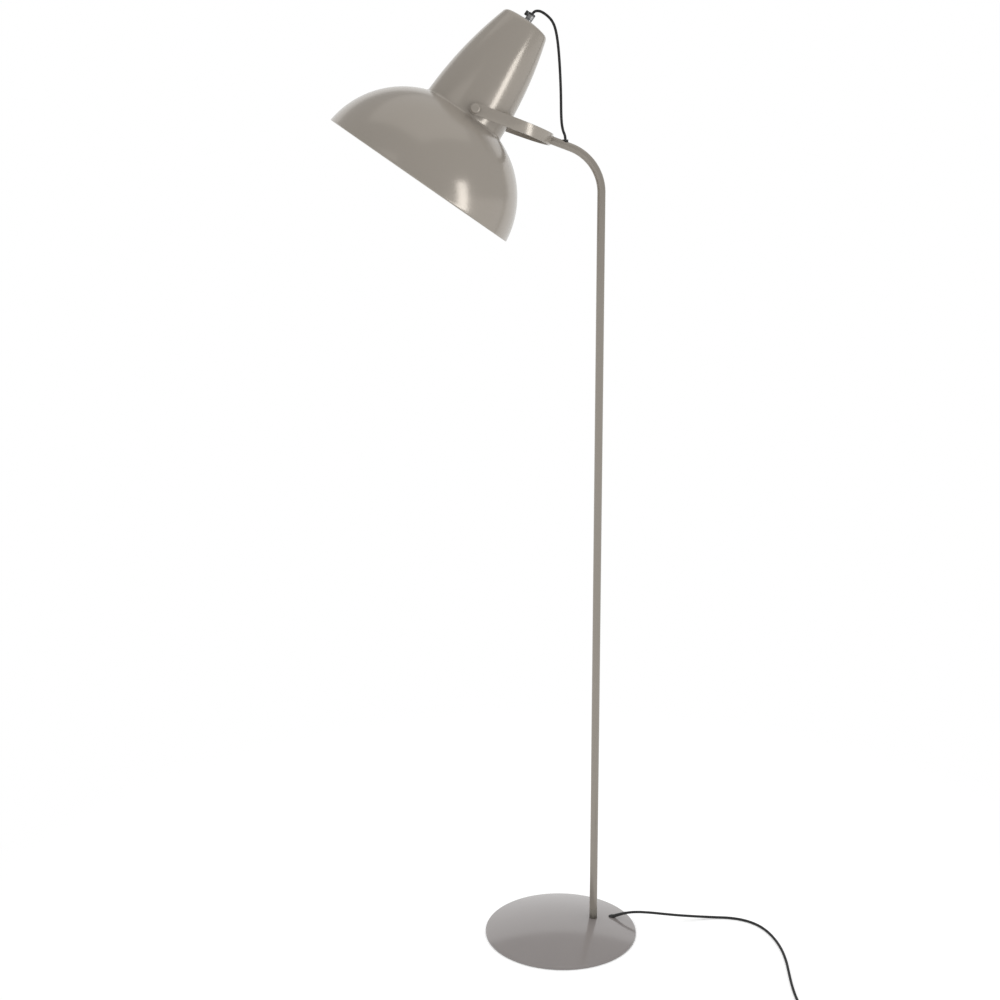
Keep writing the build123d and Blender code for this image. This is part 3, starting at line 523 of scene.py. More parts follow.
def arc(circle, first, last, count):
    """Points of a circle (centre x, centre z, radius) from one angle to another."""
    x, z, radius = circle
    angles = [first + (last - first) * i / count for i in range(count + 1)]
    return [(x + radius * math.cos(a), z + radius * math.sin(a)) for a in angles]


def crossing(first, second):
    """The upper of the two points where two circles meet."""
    (ax, az, ar), (bx, bz, br) = first, second
    gap = math.hypot(bx - ax, bz - az)
    along = (ar**2 - br**2 + gap**2) / (2 * gap)
    aside = math.sqrt(ar**2 - along**2)
    ux, uz = (bx - ax) / gap, (bz - az) / gap
    spots = [(ax + along * ux - s * aside * uz, az + along * uz + s * aside * ux) for s in (-1, 1)]
    return max(spots, key=lambda spot: spot[1])


def bearing(circle, spot):
    """The angle at which a point lies as seen from a circle's centre."""
    return math.atan2(spot[1] - circle[1], spot[0] - circle[0])


def rounded_corner(first, second, rounding):
    """The circle that rounds the corner of two others: outside both for a rounding above 0, else inside."""
    grown = [(x, z, radius + rounding) for x, z, radius in (first, second)]
    return (*crossing(*grown), abs(rounding))


def frame_matrix(origin, x_way, z_way):
    """The matrix of a right-handed frame with the given X and Z directions."""
    y_way = z_way.cross(x_way)
    turned = Matrix((x_way, y_way, z_way)).transposed().to_4x4()
    return Matrix.Translation(origin) @ turned


# ---------------------------------------------------------------- shade

SHADE_FINENESS = 8
BEAD_FROM, BEAD_TO = math.radians(100), math.radians(390)
BEAD_STEPS = 20
BEAD_MERGE = 0.00002

# A face is inside where its normal turns to the axis, or, above the bead, turns down, by more than this.
INWARD = -0.02
DOWNWARD = -0.4
ABOVE_BEAD = 0.02


def shade_matrix():
    """The shade's own frame: Z up its axis from the rim's middle, X towards the pole."""
    sizes = settings().shade
    across = Vector((math.cos(sizes.tilt), 0.0, -math.sin(sizes.tilt)))
    up = Vector((math.sin(sizes.tilt), 0.0, math.cos(sizes.tilt)))
    return frame_matrix(PIVOT - across * sizes.pivot_offset - up * sizes.pivot_height, across, up)


def shade_line(inset, fineness):
    """The shade's outline from just above the rim to the crown's hole, moved inwards by the inset."""
    sizes = settings().shade
    dome_r = sizes.rim_radius - math.sqrt(sizes.dome_arc_radius**2 - sizes.dome_arc_drop**2)
    dome = (dome_r, -sizes.dome_arc_drop, sizes.dome_arc_radius - inset)
    cone_r = sizes.cone_widest_radius - sizes.cone_arc_radius
    cone = (cone_r, sizes.cone_arc_height, sizes.cone_arc_radius - inset)
    crown = (0.0, sizes.crown_height - sizes.crown_arc_radius, sizes.crown_arc_radius - inset)
    neck = rounded_corner(dome, cone, sizes.neck_round + inset)
    shoulder = rounded_corner(cone, crown, -(sizes.crown_round - inset))
    hole = math.acos(sizes.crown_hole_radius / crown[2])
    start = math.asin((2 * sizes.bead_radius + sizes.dome_arc_drop) / dome[2])
    points = arc(dome, start, bearing(dome, neck), 8 * fineness)
    neck_from, neck_to = (bearing(neck, circle) % (2 * math.pi) for circle in (dome, cone))
    points += arc(neck, neck_from, neck_to, fineness)
    points += arc(cone, bearing(cone, neck), bearing(cone, shoulder), 6 * fineness)
    points += arc(shoulder, bearing(cone, shoulder), bearing(crown, shoulder), fineness)
    points += arc(crown, bearing(crown, shoulder), hole, 2 * fineness)
    return points


def rim_bead():
    """The rolled bead, from the inner wall round below to the outer wall."""
    sizes = settings().shade
    bead = (sizes.rim_radius - sizes.bead_radius, sizes.bead_radius, sizes.bead_radius)
    return arc(bead, BEAD_FROM, BEAD_TO, BEAD_STEPS)


def is_inside(face):
    """Whether a face of the shade looks at its axis, or down from the crown."""
    middle = face.calc_center_median()
    outward = face.normal.dot(Vector((middle.x, middle.y, 0.0)).normalized())
    return outward < INWARD or face.normal.z < DOWNWARD and middle.z > ABOVE_BEAD


def make_shade():
    """The spun shell with its rolled rim, taupe outside and light inside."""
    inner = shade_line(settings().shade.wall, SHADE_FINENESS)
    outline = rim_bead() + shade_line(0.0, SHADE_FINENESS) + inner[::-1]
    shape = turned_on_z(outline, settings().round_steps)
    bmesh.ops.remove_doubles(shape, verts=shape.verts, dist=BEAD_MERGE)
    for face in shape.faces:
        face.material_index = 1 if is_inside(face) else 0
    shape.transform(shade_matrix())
    finishes = ["taupe_enamel", "inside_enamel"]
    return finish_piece("shade_skin", shape, "head", finishes, ["shade"])


# ---------------------------------------------------------------- fork

EDGE_STEPS = 4
END_STEPS = 32
BOW_STEPS = 40
SAME_PLACE = 1e-5


def arm_way():
    """The direction in which the arm goes up from the pole to the fork."""
    slope = settings().stand.arm_slope
    return Vector((-math.cos(slope), 0.0, math.sin(slope)))


def fork_matrix():
    """The fork's own frame: X from the pivot to the fork's back, Z across the strip."""
    slope = settings().stand.arm_slope
    return frame_matrix(PIVOT, -arm_way(), Vector((math.sin(slope), 0.0, math.cos(slope))))


def half_strip_outline():
    """Half of the strip's section as (distance from its middle, place across its thickness)."""
    sizes = settings().fork
    half, thick, rounding = sizes.width / 2, sizes.thickness / 2, sizes.edge_round
    upper = arc((half - rounding, thick - rounding, rounding), math.pi / 2, 0.0, EDGE_STEPS)
    lower = arc((half - rounding, rounding - thick, rounding), 0.0, -math.pi / 2, EDGE_STEPS)
    return [(0.0, thick), *upper, *lower, (0.0, -thick)]


def make_fork():
    """A round end, a straight arm and a quarter of the bow, mirrored."""
    sizes = settings().fork
    middle = sizes.inside / 2 + sizes.thickness / 2
    bow = sizes.reach - middle - sizes.thickness / 2
    shape = bmesh.new()
    corners = [shape.verts.new((0.0, y, -z)) for z, y in half_strip_outline()]
    edges = [shape.edges.new(pair) for pair in zip(corners, corners[1:])]
    bmesh.ops.spin(
        shape, geom=corners + edges, cent=(0, 0, 0), axis=(0, 1, 0), angle=math.pi, steps=END_STEPS
    )
    bmesh.ops.remove_doubles(shape, verts=shape.verts, dist=MERGE)
    pulled(shape, open_rim(shape, lambda place: True), (bow, 0, 0))
    bmesh.ops.translate(shape, verts=shape.verts, vec=(0, middle, 0))
    arm_end = open_rim(shape, lambda place: abs(place.x - bow) < SAME_PLACE)
    bmesh.ops.spin(
        shape, geom=with_corners(arm_end), cent=(bow, 0, 0), axis=(0, 0, 1), angle=-math.pi / 2,
        steps=BOW_STEPS,
    )
    bmesh.ops.remove_doubles(shape, verts=shape.verts, dist=MERGE)
    everything = shape.verts[:] + shape.edges[:] + shape.faces[:]
    bmesh.ops.mirror(shape, geom=everything, merge_dist=SAME_PLACE, axis="Y")
    bmesh.ops.recalc_face_normals(shape, faces=shape.faces)
    shape.transform(fork_matrix())
    return finish_piece("fork_strap", shape, "stand", ["taupe_enamel"], ["fork"])


# ---------------------------------------------------------------- tube and base

TUBE_SIDES = 48
POLE_RUNS = 12
BEND_STEPS = 40
COVER_FINENESS = 10
COVER_INSIDE_FINENESS = 6


def make_tube():
    """A straight pole in equal runs, the bend and the straight arm."""
    sizes = settings().stand
    low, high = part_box("pole")
    middle_x, start = high.x - sizes.tube_radius, low.z
    shape = bmesh.new()
    made = bmesh.ops.create_circle(shape, cap_ends=False, segments=TUBE_SIDES, radius=sizes.tube_radius)
    bmesh.ops.translate(shape, verts=made["verts"], vec=(middle_x, LAMP_PLANE_Y, start))
    ring = shape.edges[:]
    for _ in range(POLE_RUNS):
        ring = pulled(shape, ring, Vector((0, 0, sizes.bend_start - start)) / POLE_RUNS)
    bmesh.ops.spin(
        shape, geom=with_corners(ring), cent=(middle_x - sizes.bend_radius, LAMP_PLANE_Y, sizes.bend_start),
        axis=(0, -1, 0), angle=math.pi / 2 - sizes.arm_slope, steps=BEND_STEPS,
    )
    bmesh.ops.remove_doubles(shape, verts=shape.verts, dist=MERGE)
    ring = open_rim(shape, lambda place: place.z > start + sizes.tube_radius)
    pulled(shape, ring, arm_way() * sizes.arm_run)
    bmesh.ops.holes_fill(shape, edges=open_rim(shape, lambda place: True), sides=0)
    bmesh.ops.recalc_face_normals(shape, faces=shape.faces)
    return finish_piece("bent_tube", shape, "stand", ["taupe_enamel"], ["pole"])


def base_line(inset, foot, fineness):
    """The base's outline from its centre over the dome and the rounded edge down to a height."""
    sizes = settings().stand
    rise = sizes.base_height - sizes.base_edge_height
    dome_radius = (sizes.base_radius**2 + rise**2) / (2 * rise)
    dome = (0.0, sizes.base_height - dome_radius, dome_radius - inset)
    rounding = sizes.base_edge_round - inset
    edge_x = sizes.base_radius - inset - rounding
    edge_z = dome[1] + math.sqrt((dome[2] - rounding) ** 2 - edge_x**2)
    edge = (edge_x, edge_z, rounding)
    points = arc(dome, math.pi / 2, bearing(dome, edge), 6 * fineness)
    points += arc(edge, bearing(dome, edge), 0.0, fineness)
    return points + [(sizes.base_radius - inset, foot)]


def make_base():
    """The thin domed cover, open below, with its lower edge just above the floor."""
    sizes = settings().stand
    outer = base_line(0.0, sizes.base_skirt_lift, COVER_FINENESS)
    inner = base_line(sizes.cover_wall, sizes.base_skirt_lift, COVER_INSIDE_FINENESS)
    shape = turned_on_z(outer + inner[::-1], settings().round_steps, closed=False)
    return finish_piece("base_dish", shape, "stand", ["base_enamel"], ["base_cover"])


# ---------------------------------------------------------------- cord grip

GRIP_HEIGHT = 0.013
GRIP_SINK = 0.0008
GRIP_RADIUS = 0.006
GRIP_CLEARANCE = 0.0002
GRIP_ROUND = 0.0012
GRIP_STEPS = 64
COLLAR_HEIGHT = 0.0030
FOOT_RING_HEIGHT = 0.0013

# Steps (outwards, upwards) of the outline: foot and groove from the grip's radius, mouth from its hole.
FOOT = [(-0.0002, 0.0), (-0.0002, 0.0012), (0.0, 0.0014)]
GROOVE = [(0.0, -0.0004), (-0.0006, 0.0), (0.0, 0.0004)]
MOUTH = [(0.0014, 0.0), (0.0010, -0.0006), (0.0, -0.0006)]
LOWER_GROOVE, UPPER_GROOVE = 0.0034, -0.0032

# The knob's outline as (share of its radius, distance from its inner end).
KNOB_OUTLINE = [
    (0.0, 0.0), (0.90, 0.0), (1.0, 0.0006), (1.0, 0.0038), (0.88, 0.0045), (0.45, 0.0045), (0.40, 0.0040),
    (0.0, 0.0040),
]
KNOB_HEIGHT = 0.0088
KNOB_START = 0.0061
KNOB_RADIUS = 0.004
KNOB_TEETH = 24
STEPS_PER_TOOTH = 4
TOOTH_DEPTH = 0.035
TOOTHED_FROM = 0.95
KNOB_SHARP = 50.0


def stepped(origin, steps):
    """Points that lie at the given steps from one point."""
    return [(origin[0] + out, origin[1] + up) for out, up in steps]


def make_grip_barrel():
    """The turned barrel on the crown: foot ring, two grooves and a black collar round the cord."""
    crown = settings().shade.crown_height
    low, top = crown - GRIP_SINK, crown + GRIP_HEIGHT
    radius, hole = GRIP_RADIUS, settings().stand.cord_diameter / 2 + GRIP_CLEARANCE
    line = [(hole, low), *stepped((radius, low), FOOT)]
    line += stepped((radius, low + LOWER_GROOVE), GROOVE) + stepped((radius, top + UPPER_GROOVE), GROOVE)
    line += arc((radius - GRIP_ROUND, top - GRIP_ROUND, GRIP_ROUND), 0.0, math.pi / 2, 5)
    line += stepped((hole, top), MOUTH)
    shape = turned_on_z(line, GRIP_STEPS)
    for face in shape.faces:
        height = face.calc_center_median().z
        face.material_index = 1 if height > top - COLLAR_HEIGHT or height < low + FOOT_RING_HEIGHT else 0
    shape.transform(shade_matrix())
    finishes = ["grip_grey", "black_plastic"]
    return finish_piece("grip_barrel", shape, "head", finishes, ["cord_grip"])


def make_grip_knob():
    """The knurled black clamping screw, turned about Z and then laid on its side."""
    line = [(share_out * KNOB_RADIUS, KNOB_START + along) for share_out, along in KNOB_OUTLINE]
    shape = turned_on_z(line, STEPS_PER_TOOTH * KNOB_TEETH, closed=False)
    for corner in shape.verts:
        if corner.co.xy.length > TOOTHED_FROM * KNOB_RADIUS:
            wave = math.cos(KNOB_TEETH * math.atan2(corner.co.y, corner.co.x))
            corner.co.xy = corner.co.xy * (1.0 - TOOTH_DEPTH * (1.0 - wave))
    height = settings().shade.crown_height + KNOB_HEIGHT
    sideways = Matrix.Translation((0, 0, height)) @ Matrix.Rotation(-math.pi / 2, 4, "Y")
    shape.transform(shade_matrix() @ sideways)
    finishes = ["black_plastic"]
    return finish_piece("grip_knob", shape, "head", finishes, ["grip_screw"], KNOB_SHARP)


# ---------------------------------------------------------------- cords

# The shade's cord is straight where it leaves the grip and where it goes into the arm.
STRAIGHT_AT_GRIP = 0.0036
STRAIGHT_AT_ARM = 0.0052

# The floor cord goes up and straight out of the base. Its middle lies at one height on the floor.
EXIT_START = Vector((0.092580, 0.021152, 0.012711))
EXIT_SLOPE, EXIT_HEADING = math.radians(20), math.radians(-8)
STRAIGHT_AT_EXIT = 0.012
SWITCH_ENTRY = Vector((0.344, -0.290, 0.008))
SWITCH_EXIT = Vector((0.344, -0.365, 0.008))
PLUG_ENTRY = Vector((0.196, -0.3999, 0.0069))
ON_FLOOR = 0.0023

# The coil's control points lie a little outside its turns, because the curve cuts the corners.
COIL_CENTRE = Vector((0.268, -0.372, 0.0))
COIL_TURNS = 8
COIL_STEPS = 16
COIL_INNER_RADIUS = 0.0166
COIL_PITCH = 0.0047
COIL_EASE = 1.012

# The bush's outer end as (distance from where the cord leaves it, share of its radius).
BUSH_OUTER_END = [(-0.0011, 1.0), (-0.0006, 0.97), (-0.0001, 0.88)]
BUSH_INNER_ROUND = 0.0004
BUSH_INNER_SHARE = 0.95
RELIEF_STEPS = 44
RELIEF_GROOVE = 0.0004
RELIEF_RINGED = (0.12, 0.92)
STEPS_PER_RING = 6
STEPS_PER_GROOVE = 2

SWITCH_NODES = [
    "switch_base", "switch_cover", "switch_button", "switch_block", "switch_screws", "switch_spring",
]
PLUG_NODES = ["plug_body", "plug_pins"]


def round_curve(name, radius, fineness):
    """A curve, still without points, that is round and closed at its ends."""
    curve = bpy.data.curves.new(name, "CURVE")
    curve.dimensions = "3D"
    curve.bevel_depth = radius
    curve.bevel_resolution = fineness
    curve.use_fill_caps = True
    return curve


def curve_through(name, points, radius=0.0):
    """A smooth open NURBS curve with the given control points."""
    curve = round_curve(name, radius, 5)
    curve.resolution_u = 12
    spline = curve.splines.new("NURBS")
    spline.points.add(len(points) - 1)
    for point, place in zip(spline.points, points):
        point.co = (*place, 1.0)
    spline.order_u = 3
    spline.use_endpoint_u = True
    return curve


def mesh_of(name, curve):
    """The mesh that a curve gives. The curve is removed."""
    guide = add_object(name, curve)
    mesh = bpy.data.meshes.new_from_object(guide)
    bpy.data.objects.remove(guide)
    bpy.data.curves.remove(curve)
    return mesh


def line_of(name, points):
    """Points along the smooth curve with the given control points."""
    mesh = mesh_of(name, curve_through(name, points))
    places = [v.co.copy() for v in mesh.vertices]
    bpy.data.meshes.remove(mesh)
    return places


def run_length(places):
    """The length of a line of straight steps."""
    return sum((b - a).length for a, b in zip(places, places[1:]))


def grip_exit():
    """Where the shade's cord leaves the cord grip."""
    return shade_matrix() @ Vector((0.0, 0.0, settings().shade.crown_height + GRIP_HEIGHT))


def arm_entry():
    """Where the shade's cord goes into the arm."""
    low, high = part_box("arm_bush")
    return Vector(((low.x + high.x) / 2, LAMP_PLANE_Y, high.z))


def shade_cord_route():
    """The free cord from the grip to the arm; its middle points are (x, z) in the lamp's plane."""
    out_of_grip = STRAIGHT_AT_GRIP * (shade_matrix().to_3x3() @ Vector((0, 0, 1)))
    above_arm = Vector((0, 0, STRAIGHT_AT_ARM))
    middle = [
        (-0.0466, 1.5192), (-0.0400, 1.5183), (-0.0316, 1.5132), (-0.0240, 1.5062), (-0.0186, 1.4965),
        (-0.0150, 1.4815), (-0.0122, 1.4600), (-0.0099, 1.4300), (-0.0082, 1.3950), (-0.0077, 1.3620),
        (-0.0066, 1.3470), (-0.0044, 1.3366),
    ]
    between = [Vector((x, LAMP_PLANE_Y, z)) for x, z in middle]
    return [grip_exit(), grip_exit() + out_of_grip, *between, arm_entry() + above_arm, arm_entry()]


def make_shade_cord():
    """The free cord as a mesh."""
    diameter = settings().stand.cord_diameter
    route = shade_cord_route()
    line = line_of("shade_cord_line", route)
    mesh = mesh_of("shade_cord_form", curve_through("shade_cord_form", route, diameter / 2))
    mesh.name = "shade_flex"
    mesh.shade_smooth()
    mesh.materials.clear()
    mesh.materials.append(finish_named("cord_jacket"))
    piece = add_object("shade_flex", mesh)
    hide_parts("shade_cord")
    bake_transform(piece)


def add_cord(name, route):
    """A cord that lies on the floor, as a curve that rides on the stand."""
    diameter = settings().stand.cord_diameter
    piece = add_object(name, curve_through(name, route, diameter / 2))
    piece.data.materials.append(finish_named("cord_jacket"))
    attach(piece, "stand")
    return piece


def exit_way():
    """The direction in which the cord leaves the base."""
    level = math.cos(EXIT_SLOPE)
    return Vector((level * math.cos(EXIT_HEADING), level * math.sin(EXIT_HEADING), math.sin(EXIT_SLOPE)))


def mains_route():
    """From the base, down to the floor and round to the foot switch."""
    return [
        EXIT_START, EXIT_START + STRAIGHT_AT_EXIT * exit_way(), (0.1168, 0.0174, 0.0204),
        (0.1315, 0.0150, 0.0223), (0.1520, 0.0131, 0.0216), (0.1787, 0.0128, 0.0180),
        (0.2050, 0.0166, 0.0125), (0.2354, 0.0221, 0.0066), (0.2675, 0.0250, ON_FLOOR),
        (0.2980, 0.0210, ON_FLOOR), (0.3250, 0.0080, ON_FLOOR),
        (0.3440, -0.0150, ON_FLOOR), (0.3545, -0.0470, ON_FLOOR), (0.3590, -0.0850, ON_FLOOR),
        (0.3575, -0.1250, ON_FLOOR), (0.3520, -0.1650, ON_FLOOR), (0.3470, -0.2030, ON_FLOOR),
        (0.3446, -0.2370, ON_FLOOR), (0.3442, -0.2650, 0.0048), (0.3440, -0.2805, 0.0080), SWITCH_ENTRY,
    ]


def coil_route():
    """The turns of the coil: in on the floor, up a layer at the middle, and out again on top."""
    points = []
    for i in range(COIL_TURNS * COIL_STEPS + 1):
        turned = 2 * math.pi * i / COIL_STEPS
        past = turned - math.pi * COIL_TURNS
        radius = (COIL_INNER_RADIUS + COIL_PITCH * abs(past) / (2 * math.pi)) * COIL_EASE
        climb = max(-1.0, min(1.0, past / (math.pi / 2)))
        height = ON_FLOOR + COIL_PITCH * (1 + math.sin(climb * math.pi / 2)) / 2
        spoke = Vector((-math.sin(turned), -math.cos(turned), 0.0))
        points.append(COIL_CENTRE + radius * spoke + Vector((0.0, 0.0, height)))
    return points


def storage_route():
    """From the foot switch into the coil, and out of the coil to the plug."""
    link = [
        SWITCH_EXIT, (0.3440, -0.3710, 0.0080), (0.3428, -0.3825, 0.0056), (0.3360, -0.3945, 0.0034),
        (0.3245, -0.4025, 0.0025), (0.3085, -0.4065, ON_FLOOR), (0.2900, -0.4074, ON_FLOOR),
        (0.2780, -0.4074, ON_FLOOR),
    ]
    tail = [
        (0.2580, -0.4074, 0.0070), (0.2420, -0.4067, 0.0061), (0.2260, -0.4046, 0.0058),
        (0.21085, -0.40199, 0.0069), PLUG_ENTRY,
    ]
    return [*link, *coil_route(), *tail]


def place_along(line, distance):
    """The point of a line at a distance from its start."""
    for first, last in zip(line, line[1:]):
        step = (last - first).length
        if distance <= step:
            return first.lerp(last, distance / step)
        distance -= step
    return line[-1]


def relief_outline():
    """The radius of bush and strain relief at distances along the cord from where it leaves the bush."""
    sizes = settings().stand
    inner_end = -sizes.bush_length
    bush = [(inner_end, BUSH_INNER_SHARE), (inner_end + BUSH_INNER_ROUND, 1.0), *BUSH_OUTER_END]
    outline = [(distance, share * sizes.bush_radius) for distance, share in bush]
    first_ring, last_ring = RELIEF_RINGED
    for i in range(RELIEF_STEPS + 1):
        share = i / RELIEF_STEPS
        radius = sizes.relief_radius + (sizes.relief_tip_radius - sizes.relief_radius) * share
        grooved = first_ring < share < last_ring and i % STEPS_PER_RING < STEPS_PER_GROOVE
        outline.append((share * sizes.relief_length, radius - RELIEF_GROOVE * grooved))
    return outline


def make_exit_relief():
    """The bush in the base's cord hole and the ringed, tapered strain relief that follows the cord."""
    line = line_of("relief_line", mains_route())
    outline = relief_outline()
    curve = round_curve("relief_form", 1.0, 6)
    spline = curve.splines.new("POLY")
    spline.points.add(len(outline) - 1)
    for point, (distance, radius) in zip(spline.points, outline):
        place = place_along(line, distance) if distance > 0 else EXIT_START + exit_way() * distance
        point.co = (*place, 1.0)
        point.radius = radius
    mesh = mesh_of("relief_form", curve)
    shape = bmesh.new()
    shape.from_mesh(mesh)
    bpy.data.meshes.remove(mesh)
    bmesh.ops.remove_doubles(shape, verts=shape.verts, dist=MERGE)
    return finish_piece("exit_relief", shape, "stand", ["black_plastic"], ["exit_bush"])


def make_floor_cords():
    """Both floor cords, each with the bush, switch or plug at its ends."""
    mains = add_cord("mains_flex", mains_route())
    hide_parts("mains_cord")
    run_length(line_of("mains_line", mains_route()))
    make_exit_relief()
    [smooth_copy(node) for node in SWITCH_NODES]
    storage = add_cord("storage_flex", storage_route())
    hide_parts("link_cord", "cord_coil", "tail_cord")
    run_length(line_of("storage_line", storage_route()))
    [smooth_copy(node) for node in PLUG_NODES]


# ---------------------------------------------------------------- the frame's other pieces

BODY_OF = {node: body for body, nodes in frame["record"]["behaviour"]["bodies"].items() for node in nodes}
SLOT_OF = {part["node"]: part["material_slot"] for part in frame["record"]["subparts"]}
SEEN_NODES = [
    "base_plate", "base_pad", "pole_socket", "arm_bush", "fork_saddle", "fork_screw", "pivot_screw_near",
    "pivot_screw_far", "pivot_spacer_near", "pivot_spacer_far", "pivot_nut_near", "pivot_nut_far",
    "crown_nut", "holder_cap", "holder_body", "bulb_glass",
]
INNER_NODES = [
    "base_weight", "base_screws", "pole_nut", "arm_plug", "inner_lead", "shade_lead", "crown_nipple",
    "holder_contact", "holder_thread", "bulb_cap", "bulb_contact",
]
COPY_SHARP = 30.0


def smooth_copy(node):
    """A copy of a node with its triangles joined and its round faces shaded smooth."""
    shape = bmesh.new()
    shape.from_mesh(frame["nodes"][node].data)
    bmesh.ops.remove_doubles(shape, verts=shape.verts, dist=MERGE)
    slot = SLOT_OF[node]
    return finish_piece(f"{node}_skin", shape, BODY_OF[node], [slot], [node], COPY_SHARP)


def dress_frame_nodes():
    """Smooth copies of the nodes that are seen, and a finish for those inside."""
    for node in SEEN_NODES:
        smooth_copy(node)
    for node in INNER_NODES:
        slots = frame["nodes"][node].data.materials
        slots.clear()
        slots.append(finish_named(SLOT_OF[node]))


# ---------------------------------------------------------------- studio

CAMERA_PLACE = Vector((-0.25097, -2.3500, 1.26668))
CAMERA_YAW, CAMERA_PITCH, CAMERA_ROLL = 0.07582, 0.1589, 0.00282
LENS, SENSOR_WIDTH = 53.65, 36.0
SHIFT_X, SHIFT_Y = -0.01965, -0.085
LIT_PLACE = (-0.05, 0.0, 1.42)
KEY_PLACE, KEY_SIZE = (-1.9, -2.0, 2.3), (2.0, 2.0)
PANEL_PLACE, PANEL_SIZE = (1.36, -1.19, 0.98), (0.42, 1.40)
TOP_PLACE, TOP_SIZE = (0.2, 0.2, 3.2), (2.4, 2.4)
PANEL_PIECES = [
    "shade_skin", "grip_barrel", "grip_knob", "fork_strap", "pivot_screw_near_skin", "pivot_screw_far_skin",
]
WHITE = (1.0, 1.0, 1.0, 1.0)
FLOOR_WHITE = (0.86, 0.86, 0.86, 1.0)
FLOOR_HALF_WIDTH = 20.0

# How softly gloss sees the backdrop end: on the floor, at its sides and at its top.
FLOOR_FADE = (-0.1, 0.3)
SIDE_FADE = (0.0, 0.12)
TOP_FADE = (0.0, 0.10)


def look_from():
    """The camera's place and turn: level with the shade's rim, looking slightly down and to the right."""
    yaw, pitch, roll = CAMERA_YAW, CAMERA_PITCH, CAMERA_ROLL
    forward = Vector((math.sin(yaw) * math.cos(pitch), math.cos(yaw) * math.cos(pitch), -math.sin(pitch)))
    right = Vector((math.cos(yaw), -math.sin(yaw), 0.0))
    up = right.cross(forward)
    right, up = right * math.cos(roll) + up * math.sin(roll), up * math.cos(roll) - right * math.sin(roll)
    turned = Matrix((right, up, -forward)).transposed().to_4x4()
    return Matrix.Translation(CAMERA_PLACE) @ turned


def make_camera():
    """The camera at the photo's angle, with its framing."""
    lens = bpy.data.cameras.new("camera")
    lens.lens = LENS
    lens.sensor_width = SENSOR_WIDTH
    lens.sensor_fit = "HORIZONTAL"
    lens.shift_x = SHIFT_X
    lens.shift_y = SHIFT_Y
    lens.clip_end = 100.0
    camera = add_object("camera", lens)
    camera.matrix_world = look_from()
    bpy.context.scene.camera = camera


def add_soft_light(name, energy, place, target, size):
    """A soft rectangular light that faces a target and that the camera doesn't see."""
    light = bpy.data.lights.new(name, "AREA")
    light.shape = "RECTANGLE"
    light.size, light.size_y = size
    light.energy = energy
    made = add_object(name, light)
    way = Vector(target) - Vector(place)
    made.location = place
    made.rotation_euler = way.to_track_quat("-Z", "Y").to_euler()
    made.visible_camera = False
    return made


def light_only(light, pieces):
    """Keeps a light off everything but the given pieces."""
    light.light_linking.receiver_collection = bpy.data.collections.new(f"{light.name}_pieces")
    for piece in pieces:
        light.light_linking.receiver_collection.objects.link(bpy.data.objects[piece])


def make_floor():
    """A wide pale floor that keeps the lamp's shadow and fades to plain white further away."""
    studio = settings().studio
    shape = bmesh.new()
    bmesh.ops.create_grid(shape, x_segments=2, y_segments=2, size=FLOOR_HALF_WIDTH)
    mesh = bpy.data.meshes.new("studio_floor")
    shape.to_mesh(mesh)
    shape.free()
    finish = Finish("studio_floor")
    mirrored = finish.ray("Glossy").at_least(finish.ray("Transmission"))
    side, behind, _ = finish.axes(finish.place())
    in_backdrop = finish.eased(studio.backdrop_width * behind - side.magnitude(), *FLOOR_FADE)
    seen = finish.ray("Camera").at_least(mirrored * in_backdrop)
    length_of = {"operation": "LENGTH"}
    away = finish.node("ShaderNodeVectorMath", length_of, {0: finish.place()}, output="Value")
    white = finish.node("ShaderNodeEmission", None, {"Color": WHITE, "Strength": 1.0})
    mesh.materials.append(finish.set(
        Base_Color=FLOOR_WHITE,
        Roughness=0.9,
        Specular_IOR_Level=0.0,
        Emission_Color=WHITE,
        Emission_Strength=seen * studio.floor_lift,
    ))
    lit = Socket(finish, finish.surface.outputs["BSDF"])
    far = seen * finish.eased(away, studio.fade_start, studio.fade_end)
    shown = finish.node("ShaderNodeMixShader", None, {0: far, 1: lit, 2: white})
    finish.feed(finish.tree.nodes["Material Output"].inputs["Surface"], shown)
    add_object("studio_floor", mesh)


def make_room():
    """Even pale light from all around: white to the camera, and to gloss white behind and dim in front."""
    studio = settings().studio
    world = bpy.data.worlds.new("studio_room")
    bpy.context.scene.world = world
    world.use_nodes = True
    room = NodeTree(world.node_tree)
    side, behind, up = room.axes(room.node("ShaderNodeTexCoord", output="Generated"))
    in_width = room.eased(studio.backdrop_width * behind - side.magnitude(), *SIDE_FADE)
    in_height = room.eased(studio.backdrop_height * behind - up, *TOP_FADE)
    backdrop = studio.front_level + (1.0 - studio.front_level) * in_width * in_height
    mirrored = room.ray("Glossy").at_least(room.ray("Transmission"))
    level = studio.room_level + mirrored * (backdrop - studio.room_level)
    background = world.node_tree.nodes["Background"]
    background.inputs["Color"].default_value = WHITE
    room.feed(background.inputs["Strength"], level.at_least(room.ray("Camera")))


def make_lights():
    """Two soft lights for the whole lamp, and a low panel for the streak on shade and fork."""
    studio = settings().studio
    add_soft_light("key_light", studio.key_power, KEY_PLACE, LIT_PLACE, KEY_SIZE)
    panel = add_soft_light("panel_light", studio.panel_power, PANEL_PLACE, LIT_PLACE, PANEL_SIZE)
    light_only(panel, PANEL_PIECES)
    add_soft_light("top_light", studio.top_power, TOP_PLACE, (0.0, 0.0, 0.0), TOP_SIZE)


# ---------------------------------------------------------------- operators and panel


class READING_LAMP_OT_camera(bpy.types.Operator):
    """Adds the camera at the picture's angle"""

    bl_idname = "reading_lamp.camera"
    bl_label = "Camera"

    def execute(self, context):
        make_camera()
        return {"FINISHED"}


